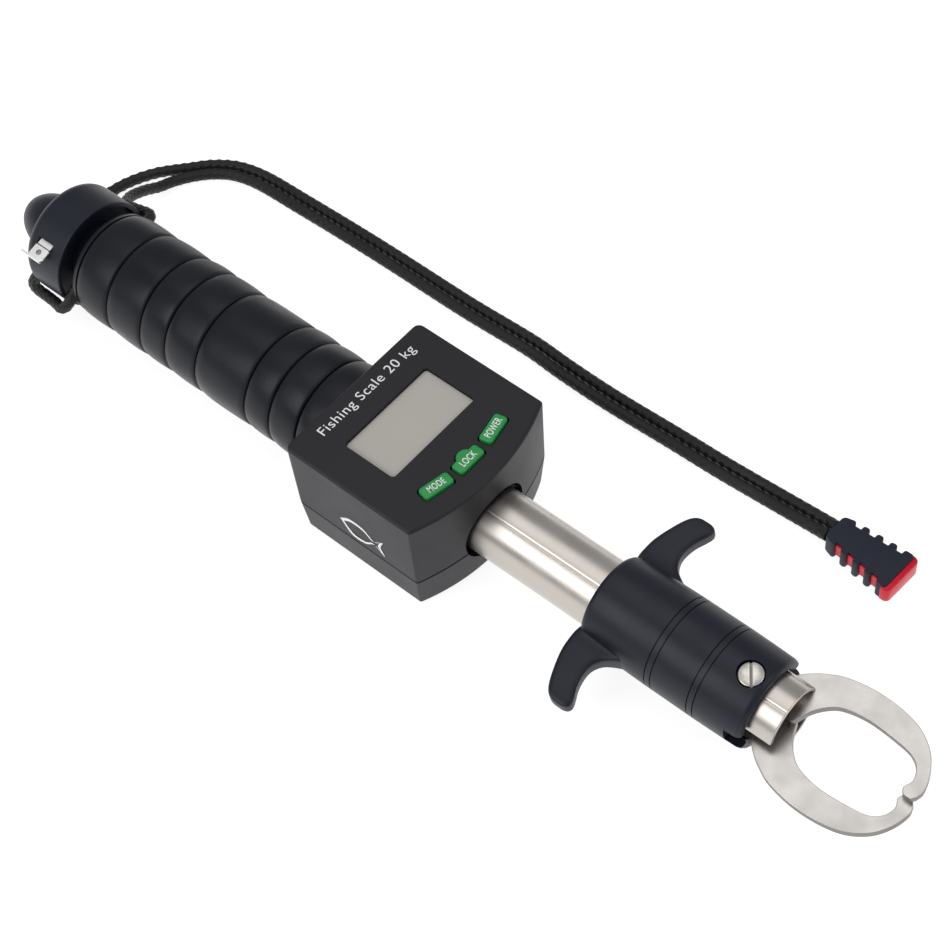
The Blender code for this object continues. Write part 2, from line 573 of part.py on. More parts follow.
def make_tube(head):
    """The main tube with its slots, its rear plug and thrust washer, the spring seat and the pins."""
    tube = turned("main_tube", [(TUBE_REAR_X, TUBE_BORE), (TUBE_REAR_X, TUBE_RADIUS),
                                (TUBE_FRONT_X, TUBE_RADIUS), (TUBE_FRONT_X, TUBE_BORE)], head, "steel", steps=40,
                  start=math.radians(3.0))
    slot_rear = PIVOT_X - TRIGGER_TRAVEL
    half = PIVOT_SHANK_RADIUS + GAP
    screw_slot = [*arc((PIVOT_X, 0), half, -90, 90, 7), *arc((slot_rear, 0), half, 90, 270, 7)]
    cut(tube, prism("screw_slot", screw_slot, -15, 15, head, None),
        block("jaw_slot", (slot_rear - 1.6, -15, -JAW_SLOT_HALF_HEIGHT), (TUBE_FRONT_X + 5, 15, JAW_SLOT_HALF_HEIGHT),
              head, None),
        rod("spreader_hole", PIN_RADIUS + GAP, (SPREADER_X, 0, -8.75), (SPREADER_X, 0, 8.75), head, None, steps=12),
        rod("seat_pin_hole", PIN_RADIUS + GAP, (62.0, -15, 0), (62.0, 15, 0), head, None, steps=12),
        rod("plug_screw_hole", 1.3, (12.7, -15, 0), (12.7, 15, 0), head, None, steps=12))
    plug = turned("tube_plug", [(10.8, 2.3), (10.8, TUBE_BORE - GAP), (14.6, TUBE_BORE - GAP), (14.6, 2.3)],
                  head, "steel", steps=24)
    cut(plug, rod("plug_screw_seat_left", 1.3, (12.7, -12, 0), (12.7, -4.6, 0), head, None, steps=12),
        rod("plug_screw_seat_right", 1.3, (12.7, 4.6, 0), (12.7, 12, 0), head, None, steps=12))
    for name, side in (("plug_screw_left", -1), ("plug_screw_right", 1)):
        rod(name, 1.0, (12.7, 4.9 * side, 0), (12.7, 8.9 * side, 0), head, "steel", steps=10)
    turned("thrust_washer", [(14.85, 2.3), (14.85, 4.7), (15.35, 4.7), (15.35, 2.3)], head, "bright_steel", steps=16)
    low, high = SPRING_SEAT_X
    seat = turned("spring_seat", [(low, 0), (low, PLUNGER_RADIUS), (high, PLUNGER_RADIUS), (high, 0)],
                  head, "steel", steps=24, closed=False)
    cut(seat, rod("seat_pin_passage", PIN_RADIUS * 0.8 + 0.05, (62.0, -12, 0), (62.0, 12, 0), head, None, steps=12))
    rod("seat_pin", PIN_RADIUS * 0.5, (62.0, -8.9, 0), (62.0, 8.9, 0), head, "steel", steps=10)
    rod("spreader_pin", PIN_RADIUS, (SPREADER_X, 0, -8.6), (SPREADER_X, 0, 8.6), head, "steel", steps=12)


def make_trigger(head):
    """The trigger collar with its finger wings, the pivot screw and nut, the plunger and the spring."""
    rear, front, radius = COLLAR_REAR_X, COLLAR_FRONT_X, COLLAR_RADIUS
    collar = turned("trigger_collar", [(rear, COLLAR_BORE), (rear, radius - 0.8), (rear + 0.5, radius - 0.4),
                                       (rear + 12, radius + 0.1), (rear + 24, radius), (front - 1.2, radius - 0.1),
                                       (front - 0.4, radius - 0.4), (front, radius - 1.2), (front, COLLAR_BORE)],
                    head, "case_plastic", steps=40)
    for side, label in ((-1, "left"), (1, "right")):
        fuse(collar, prism(f"wing_{label}", wing_outline(side), -WING_HALF_THICKNESS, WING_HALF_THICKNESS, head, None))
    notch_x = PIVOT_X + 0.4
    low, high = PIVOT_HEAD_Z
    cut(collar, rod("pivot_passage", PIVOT_SHANK_RADIUS + GAP, (PIVOT_X, 0, -20), (PIVOT_X, 0, 20), head, None),
        rod("pivot_recess", PIVOT_HEAD_RADIUS + GAP, (PIVOT_X, 0, low - 0.25), (PIVOT_X, 0, 20), head, None),
        rod("nut_recess", PIVOT_HEAD_RADIUS + GAP, (PIVOT_X, 0, -low + 0.25), (PIVOT_X, 0, -20), head, None),
        block("jaw_notch", (notch_x, -20, -JAW_SLOT_HALF_HEIGHT - 0.2), (front + 5, 20, JAW_SLOT_HALF_HEIGHT + 0.2),
              head, None))
    screw = rod("pivot_screw", PIVOT_HEAD_RADIUS, (PIVOT_X, 0, low), (PIVOT_X, 0, high), head, "bright_steel",
                steps=24, rim=0.15)
    fuse(screw, rod("pivot_shank", PIVOT_SHANK_RADIUS, (PIVOT_X, 0, -high), (PIVOT_X, 0, low + 0.4), head, None))
    cut(screw, block("driver_slot", (PIVOT_X - 5, -0.45, high - 0.6), (PIVOT_X + 5, 0.45, high + 1), head, None,
                     Matrix.Translation((PIVOT_X, 0, 0)) @ Matrix.Rotation(math.radians(-53), 4, "Z")
                     @ Matrix.Translation((-PIVOT_X, 0, 0))))
    nut = rod("pivot_nut", PIVOT_HEAD_RADIUS, (PIVOT_X, 0, -high), (PIVOT_X, 0, -low), head, "bright_steel", steps=24)
    cut(nut, rod("nut_thread", PIVOT_SHANK_RADIUS + 0.2, (PIVOT_X, 0, -15), (PIVOT_X, 0, -5), head, None, steps=24))
    plunger = turned("plunger", [(PLUNGER_REAR_X - 3, 0), (PLUNGER_REAR_X - 3, 4.2), (PLUNGER_REAR_X, 4.2),
                                 (PLUNGER_REAR_X, PLUNGER_RADIUS), (PLUNGER_FRONT_X, PLUNGER_RADIUS),
                                 (PLUNGER_FRONT_X, 0)], head, "steel", steps=24, closed=False)
    cut(plunger, block("plunger_fork", (PIVOT_X - 5.0, -12, -JAW_SLOT_HALF_HEIGHT),
                       (PLUNGER_FRONT_X + 3, 12, JAW_SLOT_HALF_HEIGHT), head, None),
        rod("plunger_cross_hole", PIVOT_SHANK_RADIUS + GAP, (PIVOT_X, 0, -12), (PIVOT_X, 0, 12), head, None))
    make_return_spring(head)


def make_return_spring(head):
    """A compression spring between the fixed seat and the plunger's shoulder."""
    start = SPRING_SEAT_X[1] + GAP + SPRING_WIRE
    end = PLUNGER_REAR_X - GAP - SPRING_WIRE
    count = SPRING_TURNS * 12
    curve = bpy.data.curves.new("return_spring", "CURVE")
    curve.dimensions = "3D"
    curve.bevel_depth = SPRING_WIRE * MM
    curve.bevel_resolution = 1
    curve.use_fill_caps = True
    spline = curve.splines.new("POLY")
    spline.points.add(count)
    for index, point in enumerate(spline.points):
        share = index / count
        angle = 2 * math.pi * SPRING_TURNS * share
        place = Vector((start + (end - start) * share, SPRING_RADIUS * math.cos(angle), SPRING_RADIUS * math.sin(angle)))
        point.co = (*(place * MM), 1.0)
    made = bpy.data.objects.new("return_spring", curve)
    made.parent = head
    bpy.context.scene.collection.objects.link(made)
    curve.materials.append(material("spring_steel"))


def make_jaws(head):
    """Two flat jaws, one over the other, that turn on the pivot screw."""
    half = JAW_HALF_GAP
    for name, side, low in (("right_jaw", 1, half), ("left_jaw", -1, -half - JAW_THICKNESS)):
        pivot = empty(f"{name}_axis", (PIVOT_X, 0, 0), parent=head)
        outline = [(x, y * side) for x, y in jaw_outline()]
        jaw = prism(name, outline, low, low + JAW_THICKNESS, pivot, "steel")
        cut(jaw, rod(f"{name}_eye", PIVOT_SHANK_RADIUS + 0.1, (0, 0, -5), (0, 0, 5), pivot, None, steps=24))


# ---------------------------------------------------------------- lanyard


PAIR_ROUTE = [(-134.6, 38.6), (-130.9, 44.3), (-126.4, 48.9), (-120.5, 52.4), (-111.9, 54.2), (-97.3, 54.6),
              (-78.4, 54.9), (-60.8, 54.9), (-35.5, 54.6), (-13.8, 55.0), (-1.0, 54.3), (15.4, 53.9),
              (36.5, 54.3), (52.2, 54.5), (70.3, 56.2)]
RIGHT_LEAD = [(-116.1, 9.4, 15.9), (-116.1, 12.6, 16.0), (-116.1, 15.9, 16.2), (-117.9, 18.1, 15.8),
              (-121.6, 18.1, 14.9), (-125.8, 18.1, 13.6), (-129.6, 19.5, 11.8), (-132.2, 23.2, 9.3),
              (-133.2, 28.6, 6.2), (-133.2, 33.6, 3.3), (-132.6, 38.4, 1.8)]
LEFT_LEAD = [(-116.1, -9.4, 15.9), (-116.1, -12.6, 13.9), (-116.1, -15.4, 11.4), (-117.9, -16.9, 9.4),
             (-121.4, -16.2, 8.5), (-125.4, -15.9, 8.2), (-129.6, -15.6, 7.8), (-133.6, -13.8, 6.2),
             (-136.8, -9.4, 3.8), (-139.2, -3.6, 2.1), (-142.0, 5.4, 1.7), (-144.4, 16.0, 1.7),
             (-143.8, 27.0, 1.7), (-139.6, 36.8, 1.7)]


def toggle_frame():
    """Frame of the toggle: its x runs away from the cord, and it lies flat on the ground."""
    return (Matrix.Translation((*TOGGLE_START, TOGGLE_HALF_HEIGHT + 0.1))
            @ Matrix.Rotation(TOGGLE_TURN, 4, "Z"))


def strand_route(lead, side):
    """The points of one strand: its own lead, then its side of the pair, then into the toggle."""
    route = [Vector(p) for p in lead]
    for before, point, after in zip(PAIR_ROUTE, PAIR_ROUTE[1:], PAIR_ROUTE[2:]):
        heading = (Vector(after) - Vector(before)).normalized()
        offset = Vector((-heading.y, heading.x)) * side * PAIR_SPACING / 2
        route.append(Vector((point[0] + offset.x, point[1] + offset.y, CORD_REST_Z)))
    frame = toggle_frame()
    mouth_side = side * PAIR_SPACING / 2
    route.append(frame @ Vector((-7.0, mouth_side, -1.1)))
    route.append(frame @ Vector((-0.5, mouth_side, 0.0)))
    return route


def make_lanyard():
    """Two strands of braided cord from the neck's cross hole to the toggle, and the toggle itself."""
    for name, lead, side in (("lanyard_strand_right", RIGHT_LEAD, -1), ("lanyard_strand_left", LEFT_LEAD, 1)):
        path = smooth_path(strand_route(lead, side), 3)
        curve = bpy.data.curves.new(name, "CURVE")
        curve.dimensions = "3D"
        curve.bevel_depth = CORD_DIAMETER / 2 * MM
        curve.bevel_resolution = 2
        curve.use_fill_caps = True
        spline = curve.splines.new("POLY")
        spline.points.add(len(path) - 1)
        for point, place in zip(spline.points, path):
            point.co = (*(place * MM), 1.0)
        made = bpy.data.objects.new(name, curve)
        bpy.context.scene.collection.objects.link(made)
        curve.materials.append(material("cord"))
    make_toggle()


def toggle_outline(start, end, inset, radius):
    """Plan outline of a stretch of the toggle, which widens away from the cord."""
    narrow, wide = TOGGLE_HALF_WIDTHS
    slope = (wide - narrow) / TOGGLE_LENGTH
    low, high = narrow + slope * start - inset, narrow + slope * end - inset
    return [*arc((start + radius, -low + radius), radius, 180, 270, 3), *arc((end - radius, -high + radius), radius, 270, 360, 3),
            *arc((end - radius, high - radius), radius, 0, 90, 3), *arc((start + radius, low - radius), radius, 90, 180, 3)]


def make_toggle():
    """A zip-pull style toggle: a soft shell with side windows over a coloured core with an end cap."""
    frame = toggle_frame()
    half = TOGGLE_HALF_HEIGHT
    shell = prism("toggle_shell", toggle_outline(0, TOGGLE_SHELL_LENGTH, 0, 1.2), -half, half, None,
                  "toggle_rubber", frame)
    cut(shell, prism("toggle_hollow", toggle_outline(3.0, TOGGLE_SHELL_LENGTH + 4, 1.4, 0.5), -half + 1.2, half - 1.2,
                     None, None, frame))
    for index in range(4):
        x = 4.6 + 3.3 * index
        cut(shell, block(f"toggle_window_{index}", (x, -9, -half + 1.2), (x + 1.6, 9, half + 2), None, None,
                         frame @ Matrix.Translation((0, 0, 0))))
    core = prism("toggle_core", toggle_outline(3.3, TOGGLE_SHELL_LENGTH + 1, 1.7, 0.4), -half + 1.5, half - 1.5, None,
                 "toggle_red", frame)
    fuse(core, prism("toggle_end", toggle_outline(TOGGLE_SHELL_LENGTH + GAP, TOGGLE_LENGTH, 0, 1.0), -half, half, None,
                     None, frame))


def main():
    """Builds the whole tool."""
    clear_scene()
    axis = empty("tool_axis", (0, 0, AXIS_HEIGHT))
    head = empty("head_axis", turn=(HEAD_ROLL, 0, 0), parent=axis)
    make_grip(axis)
    make_tail(axis)
    make_tape(axis)
    make_housings(axis)
    make_buttons(axis)
    make_electronics(axis)
    make_weighing(axis)
    make_tube(head)
    make_trigger(head)
    make_jaws(head)
    make_lanyard()


main()
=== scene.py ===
"""Looks for a hand-held fish scale: foam grip, weighing box, steel lip-grip jaws, tape drum and lanyard.

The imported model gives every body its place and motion. This script builds the finely shaped pieces that
ride on those bodies, gives every piece its finish, and sets up the studio. Sizes are in millimetres until a
mesh is made.
"""

import json
import logging
import math
from collections.abc import Callable, Iterable, Sequence
from dataclasses import dataclass
from enum import Enum

import bmesh
import bpy
from mathutils import Matrix, Vector, noise

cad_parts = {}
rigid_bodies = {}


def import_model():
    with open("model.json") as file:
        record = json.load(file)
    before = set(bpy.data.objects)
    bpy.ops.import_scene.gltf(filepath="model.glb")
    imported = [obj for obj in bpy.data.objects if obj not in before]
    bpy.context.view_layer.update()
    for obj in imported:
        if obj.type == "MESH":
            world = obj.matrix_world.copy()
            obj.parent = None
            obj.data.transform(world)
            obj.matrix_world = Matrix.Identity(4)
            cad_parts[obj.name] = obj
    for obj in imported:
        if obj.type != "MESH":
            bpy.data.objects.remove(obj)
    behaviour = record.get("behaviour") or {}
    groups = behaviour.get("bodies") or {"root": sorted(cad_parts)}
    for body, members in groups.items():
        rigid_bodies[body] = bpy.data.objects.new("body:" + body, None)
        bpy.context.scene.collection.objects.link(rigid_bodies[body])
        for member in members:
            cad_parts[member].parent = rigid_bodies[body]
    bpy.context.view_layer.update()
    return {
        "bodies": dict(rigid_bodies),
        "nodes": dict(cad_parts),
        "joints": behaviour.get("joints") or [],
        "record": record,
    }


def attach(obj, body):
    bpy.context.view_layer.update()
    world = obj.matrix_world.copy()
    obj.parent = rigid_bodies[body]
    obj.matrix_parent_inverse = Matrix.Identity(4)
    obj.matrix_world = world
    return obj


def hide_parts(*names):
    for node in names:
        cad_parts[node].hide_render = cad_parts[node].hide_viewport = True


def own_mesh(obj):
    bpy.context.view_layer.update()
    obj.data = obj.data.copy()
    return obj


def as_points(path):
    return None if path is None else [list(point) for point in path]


LOG = logging.getLogger("fish_scale")
MM = 0.001
AXIS_HEIGHT = 15.9
HEAD_ROLL = math.radians(8.0)
TOOL = Matrix.Translation((0, 0, AXIS_HEIGHT))
HEAD = TOOL @ Matrix.Rotation(HEAD_ROLL, 4, "X")
SHARP_DEGREES = 35.0
QUARTER = math.pi / 2
TOUCH = 1e-5
CAPITAL_HEIGHT = 0.7

Point2 = tuple[float, float]
Point3 = tuple[float, float, float]


class Body(Enum):
    """The rigid bodies that the fine pieces ride on."""

    HANDLE = "handle"
    UNIT = "unit_button"
    HOLD = "hold_button"
    POWER = "power_button"
    HOOK = "tape_hook"
    HEAD = "head"
    TRIGGER = "trigger"
    RIGHT_JAW = "right_jaw"
    LEFT_JAW = "left_jaw"


# ---------- finishes


def linear(hex_colour: str) -> tuple[float, float, float, float]:
    """Turns an sRGB hex colour into linear values.

    Args:
        hex_colour: Six hex digits, such as "1c1f28".

    Returns:
        Linear red, green and blue, and an alpha of 1.
    """
    parts = [int(hex_colour[i : i + 2], 16) / 255 for i in (0, 2, 4)]
    values = [p / 12.92 if p <= 0.04045 else ((p + 0.055) / 1.055) ** 2.4 for p in parts]
    return (*values, 1.0)


def add(tree: bpy.types.NodeTree, kind: str, inputs: dict | None = None, **settings: str) -> bpy.types.Node:
    """Adds one shader node, with its settings, constants and links.

    Args:
        tree: The material's node tree.
        kind: The node's type name.
        inputs: Socket name or index to a constant or to another node's output socket.
        **settings: Properties of the node itself.

    Returns:
        The new node.
    """
    node = tree.nodes.new(kind)
    for key, value in settings.items():
        setattr(node, key, value)
    for key, value in (inputs or {}).items():
        if isinstance(value, bpy.types.NodeSocket):
            tree.links.new(value, node.inputs[key])
        else:
            node.inputs[key].default_value = value
    return node


@dataclass(frozen=True)
class Finish:
    """A real surface: its colours, gloss and the fine relief that it carries.

    Attributes:
        slot: The record's material slot; not used.
        colour: Main colour, sRGB hex.
        second: Colour of the patches that the surface varies towards.
        roughness: Mean roughness.
        variation: How far the roughness wanders from its mean.
        metallic: 1 for bare metal.
        grain_mm: Size of the fine relief along X, Y and Z.
        relief_mm: Depth of the fine relief.
        patch_mm: Size of the broad patches of colour and gloss.
        sheen: Weight of the fibres' soft sheen.
        specular: Strength of the surface reflection of a non-metal.
    """

    slot: str
    colour: str
    second: str
    roughness: float
    variation: float = 0.05
    metallic: float = 0.0
    grain_mm: tuple[float, ...] = (0.3,) * 3
    relief_mm: float = 0.0
    patch_mm: float = 12.0
    sheen: float = 0.0
    specular: float = 0.5

    def material(self, name: str) -> bpy.types.Material:
        """Builds the finish as a material, once.

        Args:
            name: The material's name.

        Returns:
            The material, shared by every piece that has this finish.
        """
        found = bpy.data.materials.get(name)
        if found:
            return found
        made = bpy.data.materials.new(name)
        made.use_nodes = True
        tree = made.node_tree
        shader = tree.nodes["Principled BSDF"]
        place = add(tree, "ShaderNodeTexCoord").outputs["Object"]
        broad_scale = 1 / (self.patch_mm * MM)
        broad = add(tree, "ShaderNodeTexNoise", {"Vector": place, "Scale": broad_scale, "Detail": 3.0})
        colours = {0: broad.outputs["Fac"], 6: linear(self.colour), 7: linear(self.second)}
        colour = add(tree, "ShaderNodeMix", colours, data_type="RGBA")
        spread = {"Value": broad.outputs["Fac"], "From Min": 0.3, "From Max": 0.7}
        spread["To Min"] = self.roughness - self.variation
        spread["To Max"] = self.roughness + self.variation
        gloss = add(tree, "ShaderNodeMapRange", spread)
        tree.links.new(colour.outputs[2], shader.inputs["Base Color"])
        tree.links.new(gloss.outputs["Result"], shader.inputs["Roughness"])
        if self.relief_mm:
            stretch = tuple(1 / (size * MM) for size in self.grain_mm)
            mapped = add(tree, "ShaderNodeMapping", {"Vector": place, "Scale": stretch})
            fine = {"Vector": mapped.outputs[0], "Scale": 1.0, "Detail": 4.0}
            grain = add(tree, "ShaderNodeTexNoise", fine)
            height = {"Height": grain.outputs["Fac"], "Distance": self.relief_mm * MM}
            bump = add(tree, "ShaderNodeBump", height)
            tree.links.new(bump.outputs["Normal"], shader.inputs["Normal"])
        shader.inputs["Metallic"].default_value = self.metallic
        shader.inputs["Sheen Weight"].default_value = self.sheen
        shader.inputs["Specular IOR Level"].default_value = self.specular
        return made


class Surface(Enum):
    """Every finish on the tool."""

    # Foam rubber skinned smooth by its mould: a broad soft sheen over blue-black.
    FOAM = Finish("foam", "101219", "151720", 0.36, 0.07, 0.0, (0.6,) * 3, 0.02, specular=0.26)
    # Glass-filled nylon with fine spark texture: the same blue-black, a tighter sheen.
    CASE = Finish("case_plastic", "141824", "181c29", 0.40, 0.04, 0.0, (0.25,) * 3, 0.012, specular=0.32)
    # ABS with fine texture: charcoal, even and dull, so that its flat faces stay calm.
    HOUSING = Finish("housing_plastic", "1b1b21", "1e1e24", 0.46, 0.03, 0, (0.25,) * 3, 0.014, specular=0.34)
    # Silicone keys: saturated green with satin highlights on the rounded edges.
    BUTTON = Finish("button_rubber", "1a8f40", "1d984a", 0.38, 0.03, 0.0, (0.4,) * 3, 0.005)
    # Unlit display behind a clear window: warm grey with a faint gloss.
    DISPLAY = Finish("lcd", "b5b1aa", "bcb8b1", 0.3, 0.02, patch_mm=30.0, specular=0.3)
    # Pad-printed ink: flat white.
    INK = Finish("button_rubber", "eeeeec", "f6f6f4", 0.55, 0.03)
    # Stainless tube ground along its length: fine streaks that stretch each highlight.
    TUBE = Finish("tube_steel", "bfb9b2", "c9c3bc", 0.30, 0.05, 1.0, (30.0, 0.12, 0.12), 0.004)
    # Stamped stainless plate, tumbled: brighter, with a faint cloudy grain.
    JAW = Finish("tube_steel", "c9c5c1", "b9b5b1", 0.30, 0.06, 1.0, (1.4,) * 3, 0.012, 6.0)
    # Turned nickel-plated steel.
    NICKEL = Finish("bright_steel", "d6d2ca", "bdb9b0", 0.3, 0.08, 1.0, (0.5,) * 3, 0.02, 2.0)
    # Satin zinc plate: a milky grey-white that stays bright from every side.
    PLATED = Finish("bright_steel", "f1f0ec", "fbfaf8", 0.42, 0.05, 0.35)
    # Darker, duller steel: on the jaws' side walls partly the sheared edges' own finish and partly painted shade;
    # in the pivot screw's slot a painted shadow.
    SHEARED = Finish("tube_steel", "8a8783", "76736f", 0.4, 0.05, 1.0)
    # Machined steel and spring wire inside the tool.
    STEEL = Finish("screw_steel", "8f8f92", "9a9a9c", 0.32, 0.05, 1.0)
    # Drawn aluminium.
    ALUMINIUM = Finish("aluminium", "c4c6c9", "b9bbbf", 0.34, 0.05, 1.0, (12.0, 0.2, 0.2), 0.004)
    # Enamelled spring-steel tape.
    TAPE = Finish("tape_paint", "e6e6e2", "efefec", 0.35, 0.03)
    # Braided polyester: black fibre with a trace of sheen.
    CORD = Finish("cord", "0b0b0d", "121215", 0.5, 0.08, 0.0, (0.18,) * 3, 0.06, sheen=0.02, specular=0.4)
    # Soft PVC: navy-black, dull.
    TOGGLE = Finish("toggle_shell", "1b1f2d", "212637", 0.55, 0.04, 0.0, (0.3,) * 3, 0.01, specular=0.3)
    # Glossy moulded red.
    RED = Finish("toggle_red", "cc0420", "dc0a2a", 0.3, 0.03, specular=0.3)
    # Circuit board laminate.
    BOARD = Finish("board", "1f6b3a", "236f40", 0.4, 0.03)
    # Plain moulded grey parts inside.
    INNER = Finish("inner_plastic", "6b6b6e", "727275", 0.5, 0.04)

    def material(self) -> bpy.types.Material:
        """Finds this finish's material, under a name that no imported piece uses.

        Returns:
            The material.
        """
        return self.value.material(f"finish_{self.name.lower()}")

    def on(self, obj: bpy.types.Object) -> None:
        """Gives an object this finish.

        Args:
            obj: The object to dress.
        """
        obj.data.materials.clear()
        obj.data.materials.append(self.material())


# ---------- shapes


def arc(centre: Point2, radius: float, start: float, end: float, count: int) -> list[Point2]:
    """Points on an arc.

    Args:
        centre: The arc's centre.
        radius: Its radius.
        start: First angle, in degrees.
        end: Last angle, in degrees.
        count: Number of points.

    Returns:
        The points from start to end.
    """
    angles = [math.radians(start + (end - start) * i / (count - 1)) for i in range(count)]
    return [(centre[0] + radius * math.cos(a), centre[1] + radius * math.sin(a)) for a in angles]


def filleted(corners: Sequence[Point3], count: int = 6) -> list[Point2]:
    """Rounds the corners of a closed outline.

    Args:
        corners: Each corner's x, y and fillet radius; a radius of 0 keeps the point.
        count: Points on each fillet.

    Returns:
        The rounded outline.
    """
    outline: list[Point2] = []
    for index, (x, y, radius) in enumerate(corners):
        here = Vector((x, y))
        if radius <= 0:
            outline.append((x, y))
            continue
        back = (Vector(corners[index - 1][:2]) - here).normalized()
        ahead = (Vector(corners[(index + 1) % len(corners)][:2]) - here).normalized()
        half = back.angle(ahead) / 2
        centre = here + (back + ahead).normalized() * radius / math.sin(half)
        first = here + back * radius / math.tan(half) - centre
        turn = math.pi - 2 * half
        sign = 1 if back.x * ahead.y - back.y * ahead.x < 0 else -1
        for step in range(count):
            angle = sign * turn * step / (count - 1)
            c, s = math.cos(angle), math.sin(angle)
            outline.append((centre.x + first.x * c - first.y * s, centre.y + first.x * s + first.y * c))
    return outline


def smooth(points: Sequence[Sequence[float]], steps: int) -> list[Vector]:
    """Runs a Catmull-Rom curve through points of any dimension.

    Args:
        points: The points to pass through.
        steps: Samples for each span.

    Returns:
        The sampled curve, both ends included.
    """
    known = [Vector(p) for p in points]
    ends = [2 * known[0] - known[1], *known, 2 * known[-1] - known[-2]]
    path = []
    for before, start, end, after in zip(ends, ends[1:], ends[2:], ends[3:]):
        for step in range(steps):
            t = step / steps
            bend = 2 * before - 5 * start + 4 * end - after
            twist = 3 * start - before - 3 * end + after
            path.append(0.5 * (2 * start + (end - before) * t + bend * t**2 + twist * t**3))
    path.append(known[-1])
    return path


def rounded(low: Point2, high: Point2, radius: float) -> list[Point2]:
    """Draws a rectangle with rounded corners.

    Args:
        low: Its lowest corner.
        high: Its highest corner.
        radius: The corners' radius.

    Returns:
        The outline.
    """
    corners = (low, (high[0], low[1]), high, (low[0], high[1]))
    return filleted([(x, y, radius) for x, y in corners])


def link(name: str, data: bpy.types.ID) -> bpy.types.Object:
    """Makes an object and puts it in the scene.

    Args:
        name: The object's name.
        data: Its mesh, curve, light or camera.

    Returns:
        The new object.
    """
    made = bpy.data.objects.new(name, data)
    bpy.context.scene.collection.objects.link(made)
    return made


